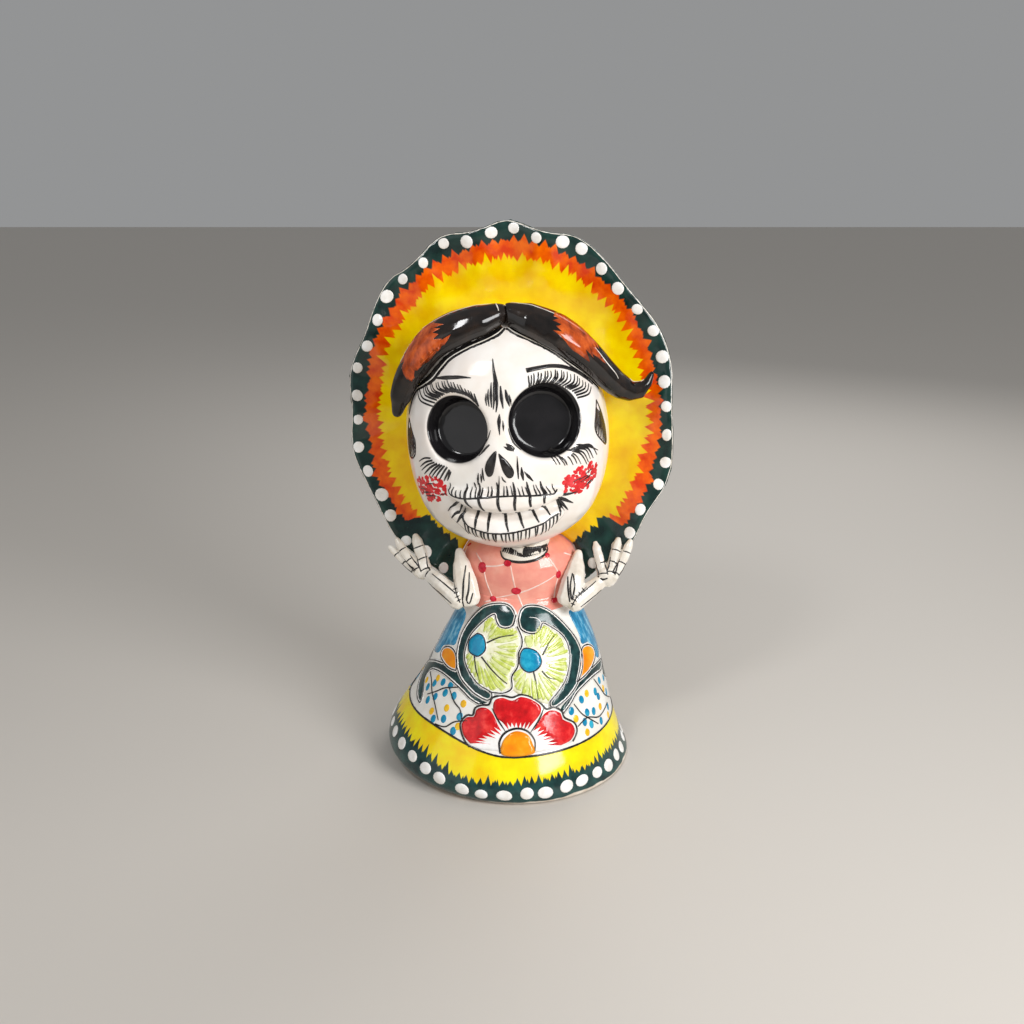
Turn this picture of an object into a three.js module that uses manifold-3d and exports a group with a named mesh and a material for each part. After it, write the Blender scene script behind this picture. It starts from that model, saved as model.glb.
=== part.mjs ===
// A glazed earthenware catrina: a skeleton lady in a long skirt who holds the brim of her big hat.
//
// The potter builds her from separate pieces of clay and sticks each one to its neighbours with slip:
// hollow shells for the skirt, the bodice, the neck and the skull, a dished slab for the hat's brim, and
// rolled coils for the hair, the teeth, the arms and the fingers. Each piece is one mesh here.
//
// Millimetres, +Z up. She faces -Y, and left and right are her own, so her left is at +X. The origin is
// on the table, under the middle of her bounding box.

import * as THREE from "three";
import { mergeVertices } from "three/addons/utils/BufferGeometryUtils.js";
import Module from "manifold-3d";

const wasm = await Module();
wasm.setup();

// ---------------------------------------------------------------- driving dimensions

const SLIP = 0.4; // thickness of the slip in a luted joint
const WALL = 5; // wall of the hollow shells

// The skirt is a bell that overhangs its foot ring on her right and sways to her left at the waist.
const SKIRT = { height: 93, hem: 67.5, waist: 30, hemX: -4.5, waistX: 4.5, footX: 4, footY: -6 };
const BODICE = { x: 4.4, y: 1, halfWidth: 32.5, halfDepth: 26, height: 34 };
const NECK = { x: 8, y: -8, radius: 14, bore: 8.5, bottom: 118, top: 142 };

const HEAD = { x: -2, y: -3, z: 184, halfWidth: 53.5, halfDepth: 49, rise: 69, drop: 58 };
const HEAD_TURN = { tilt: -5, turn: -5.5 }; // degrees
const SOCKETS = {
  right: { lon: -26.5, lat: 18.5, facing: [-12, 11], radius: 17.5 },
  left: { lon: 30.5, lat: 20, facing: [15, 12], radius: 19 },
};
const SOCKET_DEPTH = 14;
const HOLLOW_FRONT = -18; // the skull's hollow stays behind the blind sockets

const HAT = { x: 1, y: 27, z: 6, halfWidth: 88, halfHeight: 100.5, lean: 8, dish: 17, slab: 4.5 };
const HAT_WAVE = { radial: 1.7, forward: 1.8 }; // how far the pressed edge of the brim swings
// Where the edge was pinched outwards, in degrees from her left, anticlockwise as seen from the front.
const HAT_PINCHES = [18, 62, 86, 110, 134, 165, 187, 222, 244, 268, 290, 310, 338];
const CROWN = 7; // how far the crown stands off the back of the skull

// ---------------------------------------------------------------- colours of the glazes

const GLOSS = 0.15; // roughness of a clean glaze
const glaze = (color) => new THREE.MeshStandardMaterial({ color, roughness: GLOSS, metalness: 0 });
const BONE = glaze("#efe9de");
const YELLOW = glaze("#f3cf12");
const PINK = glaze("#e89a8c");
const BLACK = glaze("#1d1716");
const SKIRT_WHITE = glaze("#ece6d8");

// ---------------------------------------------------------------- helpers

const rad = THREE.MathUtils.degToRad;
const { clamp, lerp, smoothstep } = THREE.MathUtils;
const vec = (x, y, z) => new THREE.Vector3(x, y, z);

// Reads a list of values as a smooth function of t from 0 to 1.
const along = (values) => (t) => {
  const at = clamp(t, 0, 1) * (values.length - 1);
  const i = Math.min(Math.floor(at), values.length - 2);
  return lerp(values[i], values[i + 1], smoothstep(at - i, 0, 1));
};

// Moves every vertex of a geometry, as hands push soft clay, and gives the geometry back.
function warp(geometry, move) {
  const position = geometry.getAttribute("position");
  const v = vec(0, 0, 0);
  for (let i = 0; i < position.count; i++) {
    v.fromBufferAttribute(position, i);
    move(v);
    position.setXYZ(i, v.x, v.y, v.z);
  }
  return geometry;
}

// A profile of [radius, height] points turned about the Z axis, as on a wheel. It starts and ends on the
// axis, or else it closes on itself.
function throwOnWheel(profile, segments) {
  const closing = profile[0][0] > 0 ? [profile[0]] : [];
  const points = [...profile, ...closing].map(([r, z]) => new THREE.Vector2(r, z));
  return new THREE.LatheGeometry(points, segments).rotateX(Math.PI / 2);
}

// A shell's profile, or with no inner wall the profile of the lump that fills it.
function shellProfile(outer, inner) {
  if (inner) return [...outer, ...inner];
  return [[0, outer[0][1]], ...outer, [0, outer.at(-1)[1]]];
}

// A geometry's triangles with shared vertices merged.
function welded(geometry) {
  const bare = geometry.clone();
  for (const name of Object.keys(bare.attributes)) {
    if (name !== "position") bare.deleteAttribute(name);
  }
  return mergeVertices(bare, 1e-3);
}

function solidOf(geometry) {
  const mesh = welded(geometry);
  const solid = new wasm.Manifold(
    new wasm.Mesh({
      numProp: 3,
      vertProperties: new Float32Array(mesh.getAttribute("position").array),
      triVerts: new Uint32Array(mesh.index.array),
    }),
  );
  if (solid.volume() > 0) return solid;
  throw new Error("a profile runs the wrong way round, so its faces point inwards");
}

// The largest body of a solid, as a geometry. Slivers that a cut leaves behind are thrown away.
function geometryOf(solid) {
  const body = solid.decompose().sort((a, b) => b.volume() - a.volume())[0];
  const mesh = body.getMesh();
  const corners = new Float32Array(mesh.numVert * 3);
  for (let i = 0; i < mesh.numVert; i++) {
    corners.set(mesh.vertProperties.subarray(i * mesh.numProp, i * mesh.numProp + 3), i * 3);
  }
  return new THREE.BufferGeometry()
    .setAttribute("position", new THREE.BufferAttribute(corners, 3))
    .setIndex(new THREE.BufferAttribute(new Uint32Array(mesh.triVerts), 1));
}

// A geometry swollen along its normals, to cut a neighbour back by the thickness of the slip.
function swollen(geometry, by) {
  const mesh = welded(geometry);
  mesh.computeVertexNormals();
  const [position, normal] = [mesh.getAttribute("position"), mesh.getAttribute("normal")];
  const [p, n] = [vec(0, 0, 0), vec(0, 0, 0)];
  for (let i = 0; i < position.count; i++) {
    p.fromBufferAttribute(position, i).addScaledVector(n.fromBufferAttribute(normal, i), by);
    position.setXYZ(i, p.x, p.y, p.z);
  }
  return mesh;
}

const figure = new THREE.Group();

function piece(group, name, geometry, material) {
  const mesh = new THREE.Mesh(geometry, material);
  mesh.name = name;
  group.add(mesh);
  return mesh;
}

// Cuts a mesh back from the pieces that it is luted onto, which may be in other groups.
function lute(mesh, ...neighbours) {
  figure.updateMatrixWorld(true);
  const toMesh = mesh.matrixWorld.clone().invert();
  let solid = solidOf(mesh.geometry);
  for (const neighbour of neighbours) {
    const place = toMesh.clone().multiply(neighbour.matrixWorld);
    solid = solid.subtract(solidOf(swollen(neighbour.geometry, SLIP).applyMatrix4(place)));
  }
  mesh.geometry = geometryOf(solid);
  return mesh;
}

// A rolled coil of clay along a smooth path of [x, y, z] points. wide and thick give its half width and
// half thickness from its start to its end. Its thickness lies along outward(point), its ends are round.
function coil(points, { wide, thick = wide, outward = () => vec(0, -1, 0), steps = 8, sides = 8 }) {
  const caps = 2;
  const curve = new THREE.CatmullRomCurve3(points.map((point) => vec(...point)));
  const [halfWidth, halfThickness] = [along(wide), along(thick)];
  return warp(new THREE.CapsuleGeometry(1, steps, caps, sides, steps), (v) => {
    const station = clamp(v.y, -steps / 2, steps / 2);
    const t = clamp(station / steps + 0.5, 0, 1);
    const centre = curve.getPointAt(t);
    const tangent = curve.getTangentAt(t);
    const out = outward(centre);
    out.addScaledVector(tangent, -out.dot(tangent)).normalize();
    const across = out.clone().cross(tangent);
    const overshoot = (v.y - station) * Math.min(halfWidth(t), halfThickness(t));
    const [outBy, acrossBy] = [v.x * halfThickness(t), v.z * halfWidth(t)];
    v.copy(centre).addScaledVector(tangent, overshoot);
    v.addScaledVector(out, outBy).addScaledVector(across, acrossBy);
  });
}

// ---------------------------------------------------------------- skirt, bodice and neck

// The neighbours of a shell are cut back from its filled shape, so that none reaches into its hollow.
function skirtGeometry({ filled = false } = {}) {
  const { height, hem, waist, hemX, waistX, footX, footY } = SKIRT;
  const outer = [
    [hem - 4.5, 0],
    [hem - 1.5, 3],
    [hem, 8],
    [hem - 2, 16],
    [hem - 6.5, 25],
    [hem - 12, 36],
    [hem - 17.5, 49],
    [hem - 23, 64],
    [hem - 31, 82],
    [waist + 1, 91],
    [waist, height],
  ];
  const inner = [
    [waist - WALL, height],
    [hem - 36, 81],
    [hem - 28, 63],
    [hem - 17.5, 36],
    [hem - 7, 14],
    [hem - 6.5, 8],
    [hem - 8.5, 0],
  ];
  const between = (share) => lerp(hemX, waistX, share);
  const lean = along([footX, hemX, hemX, between(0.45), between(0.75), waistX, waistX]);
  return warp(throwOnWheel(shellProfile(outer, filled ? null : inner), 44), (v) => {
    const up = clamp(v.z / height, 0, 1);
    v.x += lean(up ** 0.75);
    v.y = footY * (1 - up) + v.y * lerp(1, 0.9, up);
  });
}

// A dome on the skirt's waist, open below so that the two shells share one hollow.
function bodiceGeometry({ filled = false } = {}) {
  const { x, y, halfWidth, halfDepth, height } = BODICE;
  const foot = SKIRT.height + SLIP;
  const outer = [
    [0.92, 0],
    [0.95, 0.25],
    [1, 0.48],
    [0.99, 0.65],
    [0.9, 0.82],
    [0.7, 0.95],
    [0.45, 1],
    [0.27, 1],
  ];
  const inner = [
    [0.27, 0.85],
    [0.6, 0.8],
    [0.8, 0.64],
    [0.83, 0.48],
    [0.77, 0],
  ];
  const scaled = (points) => points.map(([r, z]) => [r * halfWidth, foot + z * height]);
  const profile = shellProfile(scaled(outer), filled ? null : scaled(inner));
  return warp(throwOnWheel(profile, 36), (v) => {
    v.x += x;
    v.y = y + (v.y * halfDepth) / halfWidth;
  });
}

function neckGeometry() {
  const { x, y, radius, bore, bottom, top } = NECK;
  const middle = (bottom + top) / 2;
  const profile = [
    [radius, bottom],
    [radius - 1.5, middle],
    [radius, top],
    [bore, top],
    [bore, bottom],
  ];
  return throwOnWheel(profile, 20).translate(x, y, 0);
}

// ---------------------------------------------------------------- head

const head = new THREE.Group();
head.position.set(HEAD.x, HEAD.y, HEAD.z);
head.rotation.set(0, rad(HEAD_TURN.tilt), rad(HEAD_TURN.turn));
figure.add(head);

// The direction at a longitude and latitude on the head, in degrees. Longitude 0 is the face's middle.
function headDirection(lon, lat) {
  const [a, b] = [rad(lon), rad(lat)];
  return vec(Math.sin(a) * Math.cos(b), -Math.cos(a) * Math.cos(b), Math.sin(b));
}

// What the potter adds to the egg or presses into it: [longitude, latitude, reach in degrees, height].
// A longitude other than 0 or 180 is on both sides.
const FACE_RELIEF = [
  [26, 40, 18, 1.5], // brow ridges
  [27, 18, 22, -2.2], // hollows round the sockets
  [46, -10, 17, 1.6], // cheekbones
  [0, 2, 13, 3], // bridge of the nose
  [0, -32, 30, 4], // muzzle
  [50, -36, 26, 4], // corners of the jaw
  [0, -72, 28, 2.5], // chin
  [180, -50, 45, -9], // nape
];

// How far the skull's outer surface is from the middle of the head.
function skullRadius(direction) {
  const { halfWidth, halfDepth, rise, drop } = HEAD;
  const full = 2.1; // 2 would be an ellipsoid, and more is boxier
  const halfHeight = direction.z > 0 ? rise : drop;
  const shares = [direction.x / halfWidth, direction.y / halfDepth, direction.z / halfHeight];
  let radius = shares.reduce((sum, share) => sum + Math.abs(share) ** full, 0) ** (-1 / full);
  for (const [lon, lat, reach, height] of FACE_RELIEF) {
    for (const side of lon % 180 === 0 ? [1] : [1, -1]) {
      const away = direction.angleTo(headDirection(side * lon, lat)) / rad(reach);
      radius += height * Math.exp(-1.5 * away * away);
    }
  }
  return radius;
}

// A point over the skull at a longitude and latitude, lifted off it by some millimetres.
function onSkull(lon, lat, lift) {
  const direction = headDirection(lon, lat);
  return direction.multiplyScalar(skullRadius(direction) + lift).toArray();
}

// The skull's egg, its surface moved out by some millimetres.
function skullEgg(by, columns, rows) {
  const ball = new THREE.SphereGeometry(1, columns, rows).rotateX(Math.PI / 2);
  return warp(ball, (v) => v.normalize().multiplyScalar(skullRadius(v) + by));
}

// A blind socket is pressed in along the way it faces, and narrows a little inwards.
function socketCutter({ lon, lat, facing, radius }) {
  const beyond = 10;
  const mouth = vec(...onSkull(lon, lat, 0));
  const axis = headDirection(...facing);
  const punch = new THREE.CylinderGeometry(radius + 1.5, radius - 3, SOCKET_DEPTH + beyond, 28);
  punch.translate(0, (beyond - SOCKET_DEPTH) / 2, 0);
  const turn = new THREE.Quaternion().setFromUnitVectors(vec(0, 1, 0), axis);
  return solidOf(punch.applyQuaternion(turn).translate(mouth.x, mouth.y, mouth.z));
}

// The skull is hollow behind the sockets, and open at the neck.
function skullGeometry() {
  const hollow = warp(skullEgg(-WALL, 20, 14), (v) => {
    v.y = Math.max(v.y, HOLLOW_FRONT);
  });
  const vent = new THREE.CylinderGeometry(NECK.bore, NECK.bore, 60, 20).rotateX(Math.PI / 2);
  const down = vec(NECK.x - HEAD.x, NECK.y - HEAD.y, -40);
  let solid = solidOf(skullEgg(0, 36, 24)).subtract(solidOf(hollow));
  solid = solid.subtract(solidOf(vent.translate(down.x, down.y, down.z)));
  for (const socket of Object.values(SOCKETS)) solid = solid.subtract(socketCutter(socket));
  return geometryOf(solid);
}

const SMILE_TILT = 0.07; // degrees of latitude that the smile drops per degree of longitude

// A row of teeth is one coil pressed across the muzzle, thickest in the middle. proud is half its thickness.
function teethGeometry(lat, rise, halfHeight, proud) {
  const longitudes = [-30, -20, -10, 0, 11, 22, 33];
  const points = longitudes.map((lon) => onSkull(lon, lat + rise * (lon / 32) ** 2 - SMILE_TILT * lon, 1));
  return coil(points, {
    wide: [0.45, 0.9, 1, 1, 0.9, 0.45].map((share) => share * halfHeight),
    thick: [0.45, 0.88, 1, 1, 0.88, 0.45].map((share) => share * proud),
    outward: (p) => p.clone(),
    steps: 12,
    sides: 10,
  });
}

// A lock of hair is a fat coil that lies on the skull from the parting and tapers to its tip.
const LOCKS = {
  right: {
    points: [
      [3, -21, 68],
      [-6, -24, 66],
      [-19, -24, 62.5],
      [-30, -23, 57],
      [-38, -23, 49],
      [-45, -21.5, 40.5],
      [-50, -20, 31.5],
      [-54, -18, 21],
    ],
    wide: [6, 9.5, 11.5, 11.5, 10.5, 8.5, 6.5, 3],
    thick: [6, 8, 8.5, 8.5, 8, 7, 6, 3],
  },
  left: {
    points: [
      [7, -20, 68],
      [19, -21, 64],
      [32, -20, 56.5],
      [42.5, -16, 46.5],
      [51.5, -10, 35],
      [59, -5, 25.5],
      [66.5, -1, 20],
      [73, 2, 21.5],
      [77, 4, 27.5],
    ],
    wide: [5, 9.5, 11.5, 11, 9.5, 8.5, 7.5, 5, 1.6],
    thick: [6, 8, 8.5, 8.5, 8, 7, 6.5, 4.5, 1.6],
  },
};

const lockGeometry = ({ points, wide, thick }) =>
  coil(points, { wide, thick, outward: (p) => p.clone(), steps: 18, sides: 12 });

// ---------------------------------------------------------------- hat

// 1 where the edge of the brim was pinched outwards, -1 halfway between two pinches.
function pinchWave(degrees) {
  const pinches = [...HAT_PINCHES, HAT_PINCHES[0] + 360];
  const turn = THREE.MathUtils.euclideanModulo(degrees - pinches[0], 360) + pinches[0];
  const next = pinches.findIndex((pinch) => pinch > turn);
  const [from, to] = [pinches[next - 1], pinches[next]];
  return Math.cos((2 * Math.PI * (turn - from)) / (to - from));
}

// The brim is a dished oval slab. In its own frame -Y is its front, and its middle is the origin.
function brimGeometry() {
  const { halfWidth, halfHeight, dish, slab } = HAT;
  const half = slab / 2;
  const radii = [0.42, 0.62, 0.78, 0.9, 0.97];
  const back = radii.map((r) => [r, -half]);
  const front = radii.map((r) => [r, half]).reverse();
  const disc = throwOnWheel([...back, [1, -half * 0.4], [1, half * 0.4], ...front], 72);
  return warp(disc, (v) => {
    const r = Math.hypot(v.x, v.y);
    const angle = Math.atan2(v.y, v.x);
    const wave = smoothstep(r, 0.6, 1) * pinchWave(THREE.MathUtils.radToDeg(angle));
    const forward = dish * r * r - HAT_WAVE.forward * wave + v.z;
    const [x, z] = [r * halfWidth * Math.cos(angle), r * halfHeight * Math.sin(angle)];
    const swing = 1 + (HAT_WAVE.radial * wave) / halfWidth;
    v.set(x * swing, -forward, z * swing);
  });
}

// The crown covers the back of the skull. It starts inside the slab of the brim, which cuts it back.
function crownGeometry() {
  const { y, lean, halfWidth, dish } = HAT;
  const depth = 60;
  const behind = new THREE.BoxGeometry(2 * halfWidth, depth, 2 * halfWidth);
  behind.translate(0, y - dish / 3 + depth / 2, 0).rotateX(rad(-lean));
  return geometryOf(solidOf(skullEgg(CROWN, 28, 18)).intersect(solidOf(behind)));
}

// ---------------------------------------------------------------- arms and hands

const ARMS = {
  right: {
    upperArm: { points: [[-28.5, -9, 120], [-26.5, -17, 112], [-24.5, -21, 104.5], [-23, -23, 98]] },
    forearm: { points: [[-29, -23, 97.5], [-38.6, -14.5, 103.5], [-45.5, -5, 105.5]] },
    palm: { at: [-49.5, -2.8, 107.5], lean: -30 },
    fingers: {
      inner: { points: [[-47.4, -2.5, 107], [-50.2, 0, 116], [-53.2, 3.4, 124.4]], half: 3.6 },
      middle: { points: [[-51, -3, 106.5], [-57.5, -1, 114.5], [-63.4, 2, 123]], half: 2.8 },
      outer: { points: [[-52.5, -1, 105], [-60, 1, 111.5], [-67.5, 3, 118.5]], half: 2.4 },
    },
  },
  left: {
    upperArm: { points: [[36, -9, 119], [34, -17, 111], [32, -21, 104], [30, -23, 98]] },
    forearm: { points: [[33.5, -24, 96.5], [41.3, -19.5, 101.3], [48, -14.5, 105]] },
    palm: { at: [51.8, -14, 107.5], lean: 20 },
    fingers: {
      inner: { points: [[49.8, -13, 108], [47.6, -9.5, 116], [45.6, -5.5, 123.6]], half: 3.4 },
      middle: { points: [[53.2, -13.5, 109], [55.6, -10.5, 118], [57.6, -8, 126.8]], half: 3.1 },
      outer: { points: [[55, -14.5, 108], [60, -12.5, 117], [64, -10, 126.5]], half: 2.9 },
    },
  },
};

const UPPER_ARM = { wide: [2.4, 5, 6.3, 6.2], thick: [2.4, 3.6, 4, 4] };
const FOREARM = { wide: [5.4, 4.9, 4], thick: [4.2, 3.8, 3.2] };

function palmGeometry({ at, lean }) {
  const palm = new THREE.SphereGeometry(1, 12, 8).scale(5.6, 3.2, 6);
  return palm.rotateY(rad(lean)).translate(...at);
}

// A finger swells between its joints.
function fingerGeometry({ points, half }) {
  const bones = [1, 0.9, 1.02, 0.86, 0.94, 0.8, 0.82, 0.5];
  return coil(points, { wide: bones.map((share) => share * half), steps: 8 });
}

// ---------------------------------------------------------------- assembly

piece(figure, "skirt", skirtGeometry(), SKIRT_WHITE);
const bodice = piece(figure, "bodice", bodiceGeometry(), PINK);
piece(head, "skull", skullGeometry(), BONE);

// The three shells filled up, which is what the neighbours are fitted to.
const egg = new THREE.Mesh(skullEgg(0, 36, 24));
const bust = new THREE.Mesh(bodiceGeometry({ filled: true }));
const bell = new THREE.Mesh(skirtGeometry({ filled: true }));
head.add(egg);
lute(bodice, egg);
const neck = piece(figure, "neck", neckGeometry(), BONE);
lute(neck, egg, bodice);

const upperTeeth = piece(head, "upper_teeth", teethGeometry(-21.4, 3.5, 5.6, 5.2), BONE);
const lowerTeeth = piece(head, "lower_teeth", teethGeometry(-37.5, 8, 7.9, 7.4), BONE);
lute(upperTeeth, egg);
lute(lowerTeeth, egg, upperTeeth);

const rightLock = piece(head, "right_hair_lock", lockGeometry(LOCKS.right), BLACK);
const leftLock = piece(head, "left_hair_lock", lockGeometry(LOCKS.left), BLACK);
lute(rightLock, egg);
lute(leftLock, egg, rightLock);

const brim = piece(head, "hat_brim", brimGeometry(), YELLOW);
brim.position.set(HAT.x, HAT.y, HAT.z);
brim.rotation.x = rad(-HAT.lean);
const crown = piece(head, "hat_crown", crownGeometry(), YELLOW);
lute(crown, egg, bust, brim);
lute(brim, egg, bust, bell, neck, rightLock, leftLock);

for (const [side, arm] of Object.entries(ARMS)) {
  const upperArm = piece(figure, side + "_upper_arm", coil(arm.upperArm.points, UPPER_ARM), BONE);
  lute(upperArm, bust, bell, brim);
  const forearm = piece(figure, side + "_forearm", coil(arm.forearm.points, FOREARM), BONE);
  lute(forearm, upperArm, bust, bell, brim);
  const palm = piece(figure, side + "_palm", palmGeometry(arm.palm), BONE);
  lute(palm, forearm, brim);
  const done = [];
  for (const [name, finger] of Object.entries(arm.fingers)) {
    const mesh = piece(figure, side + "_" + name + "_finger", fingerGeometry(finger), BONE);
    done.push(lute(mesh, palm, forearm, brim, ...done));
  }
}
head.remove(egg);

// The origin goes under the middle of the whole figure.
const box = new THREE.Box3().setFromObject(figure, true);
figure.position.set(-(box.min.x + box.max.x) / 2, -(box.min.y + box.max.y) / 2, -box.min.z);
const statue = new THREE.Group();
statue.add(figure);

export default statue;
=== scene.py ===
# %% [markdown]
# # A glazed clay catrina
#
# She is a skeleton lady of earthenware, about 29 cm tall. The potter built her from hollow shells and
# rolled coils, fired her, painted her with coloured glazes between dark lines, and fired her again. So
# this lesson has two halves: first the clay, then everything that the brush put on it.

import math
import random

import bpy
from mathutils import Matrix, Vector
from mathutils.bvhtree import BVHTree
from mathutils.geometry import delaunay_2d_cdt


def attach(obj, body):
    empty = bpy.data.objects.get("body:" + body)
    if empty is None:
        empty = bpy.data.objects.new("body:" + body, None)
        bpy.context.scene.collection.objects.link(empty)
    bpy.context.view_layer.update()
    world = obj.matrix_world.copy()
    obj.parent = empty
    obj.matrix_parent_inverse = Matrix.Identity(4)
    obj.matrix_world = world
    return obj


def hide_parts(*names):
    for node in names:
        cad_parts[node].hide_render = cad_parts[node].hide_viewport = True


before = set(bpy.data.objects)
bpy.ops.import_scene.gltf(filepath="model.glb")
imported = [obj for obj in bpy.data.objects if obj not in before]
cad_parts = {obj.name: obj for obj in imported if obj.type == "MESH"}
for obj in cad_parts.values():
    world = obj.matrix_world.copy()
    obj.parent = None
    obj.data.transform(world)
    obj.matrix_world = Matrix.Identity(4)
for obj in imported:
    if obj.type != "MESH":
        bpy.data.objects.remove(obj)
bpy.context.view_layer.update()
print("frame holds", len(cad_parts), "nodes")

# %% [markdown]
# ## Small helpers
#
# Sizes here are in millimetres, as a potter would give them, and Blender works in metres. Every operator
# acts on whatever is selected, so each step first selects just the object that it is about.

# %% Helpers for selecting, copying and applying
MM = 0.001


def only(*objects):
    bpy.ops.object.select_all(action="DESELECT")
    for thing in objects:
        thing.select_set(True)
    bpy.context.view_layer.objects.active = objects[0]
    return objects[0]


def modify(piece, kind, **settings):
    only(piece)
    modifier = piece.modifiers.new(kind.lower(), kind)
    for key, value in settings.items():
        setattr(modifier, key, value)
    bpy.ops.object.modifier_apply(modifier=modifier.name)
    return piece


def clay_copy(name, *nodes):
    """One new object with the merged surfaces of these CAD nodes."""
    copies = []
    for node in nodes:
        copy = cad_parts[node].copy()
        copy.data = copy.data.copy()
        copy.parent = None
        bpy.context.collection.objects.link(copy)
        copies.append(copy)
    piece = only(*copies)
    if len(copies) > 1:
        bpy.ops.object.join()
    bpy.ops.object.mode_set(mode="EDIT")
    bpy.ops.mesh.select_all(action="SELECT")
    bpy.ops.mesh.remove_doubles(threshold=1e-6)
    bpy.ops.object.mode_set(mode="OBJECT")
    piece.name = piece.data.name = name
    piece.data.materials.clear()
    return piece


def smooth_clay(piece, voxel, rounds, swell=0.0):
    """Clay has no sharp corners: one even skin, then smoothed as by a wet sponge. Sizes are in mm."""
    if swell:
        modify(piece, "DISPLACE", strength=swell * MM, mid_level=0.0)
    modify(piece, "REMESH", mode="VOXEL", voxel_size=voxel * MM)
    modify(piece, "SMOOTH", factor=0.5, iterations=rounds)
    only(piece)
    bpy.ops.object.shade_smooth()
    print(piece.name, len(piece.data.polygons), "faces")
    return piece


# %% [markdown]
# ## Camera and light
#
# She stands a little below eye level, so the camera looks down on her by 19 degrees. A soft light from her
# left front is the window, a wide weak one fills the shadow, and a small one high on the other side gives
# the glaze its bright spots. One behind her lifts her edge off the wall.

# %% Camera
def aim(thing, at):
    thing.rotation_euler = (Vector(at) - thing.location).to_track_quat("-Z", "Y").to_euler()


CAMERA_PLACE, CAMERA_TARGET = (0.0011, -0.5945, 0.35), (0.0011, 0.0055, 0.14)
LENS = 41.0  # mm

bpy.ops.object.camera_add(location=CAMERA_PLACE)
camera = bpy.context.object
camera.data.lens = LENS
camera.data.clip_start = 0.01
aim(camera, CAMERA_TARGET)
bpy.context.scene.camera = camera

# %% Lights
LIGHTS = [
    # name, place in metres, side in metres, power in watts
    ("window", (0.62, -0.62, 0.5), 0.42, 7.2),
    ("fill", (-0.8, -0.6, 0.4), 0.8, 1.1),
    ("high_lamp", (-0.3, -0.45, 0.8), 0.14, 1.5),
    ("back_rim", (0.35, 0.7, 0.6), 0.5, 2.0),
]
LIGHT_TARGET = (0, 0, 0.15)
for name, place, side, power in LIGHTS:
    bpy.ops.object.light_add(type="AREA", location=place)
    lamp = bpy.context.object
    lamp.name = name
    lamp.data.size = side
    lamp.data.energy = power
    aim(lamp, LIGHT_TARGET)

world = bpy.context.scene.world or bpy.data.worlds.new("room")
bpy.context.scene.world = world
world.use_nodes = True
background = world.node_tree.nodes["Background"]
background.inputs["Color"].default_value = (0.86, 0.87, 0.88, 1)
background.inputs["Strength"].default_value = 0.34
bpy.context.scene.view_settings.view_transform = "Standard"

# %% Colours and nodes
def colour(code):
    """An sRGB hex code as the linear colour that shaders work in."""
    channels = [int(code[i : i + 2], 16) / 255 for i in (1, 3, 5)]
    return tuple(c / 12.92 if c <= 0.04045 else ((c + 0.055) / 1.055) ** 2.4 for c in channels) + (1.0,)


def add(tree, kind, inputs=None, **settings):
    """Adds a node: inputs are values or other nodes' sockets, settings are the node's own choices."""
    new = tree.nodes.new(kind)
    for key, value in settings.items():
        setattr(new, key, value)
    for key, value in (inputs or {}).items():
        if isinstance(value, bpy.types.NodeSocket):
            tree.links.new(value, new.inputs[key])
        else:
            new.inputs[key].default_value = value
    return new

# %% [markdown]
# ## The clay body
#
# The big shells come from the CAD model's solids, because they are the right shape already. Their flat
# facets would show in a glossy glaze, so the skirt, whose facets form a tidy grid, is subdivided, and the
# others are rebuilt as one even skin and smoothed.

# %% Skirt
skirt = clay_copy("skirt_bell", "skirt")
bpy.ops.object.mode_set(mode="EDIT")
bpy.ops.mesh.select_all(action="SELECT")
bpy.ops.mesh.tris_convert_to_quads(face_threshold=math.radians(60), shape_threshold=math.radians(60))
bpy.ops.object.mode_set(mode="OBJECT")
modify(skirt, "SUBSURF", levels=3, render_levels=3)
bpy.ops.object.shade_smooth()
print("skirt", len(skirt.data.polygons), "faces")

# %% Skull and teeth
skull = smooth_clay(clay_copy("skull_clay", "skull"), voxel=0.9, rounds=26)
tooth_rolls = clay_copy("teeth_rolls", "upper_teeth", "lower_teeth")
only(skull, tooth_rolls)
bpy.ops.object.join()
face = smooth_clay(skull, voxel=0.8, rounds=4)

# %% Other clay pieces
bodice = smooth_clay(clay_copy("bodice_dome", "bodice"), voxel=0.8, rounds=14)
neck = smooth_clay(clay_copy("neck_tube", "neck"), voxel=0.7, rounds=8)
brim = smooth_clay(clay_copy("hat_brim_slab", "hat_brim"), voxel=0.95, rounds=14)
crown = smooth_clay(clay_copy("hat_crown_dome", "hat_crown"), voxel=1.1, rounds=14)
right_lock = smooth_clay(clay_copy("right_lock_of_hair", "right_hair_lock"), voxel=0.6, rounds=14)
left_lock = smooth_clay(clay_copy("left_lock_of_hair", "left_hair_lock"), voxel=0.6, rounds=14)
ARM_PARTS = ("upper_arm", "forearm", "palm", "inner_finger", "middle_finger", "outer_finger")
arms = []
for side in ("right", "left"):
    nodes = [side + "_" + part for part in ARM_PARTS]
    arms.append(smooth_clay(clay_copy(side + "_bony_arm", *nodes), voxel=0.42, rounds=6, swell=0.25))

# %% [markdown]
# ## How the brush finds the clay
#
# Every line and patch of glaze was laid on a curved surface with a loaded brush, and it stands a tenth or
# two of a millimetre proud. The paint could be a picture on a texture, but then it would have no thickness
# to catch the light. So each patch and stroke is real geometry. It is drawn on a flat chart of its piece,
# such as an angle round the skirt and a height, and a ray from each point of the chart finds the clay.

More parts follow.
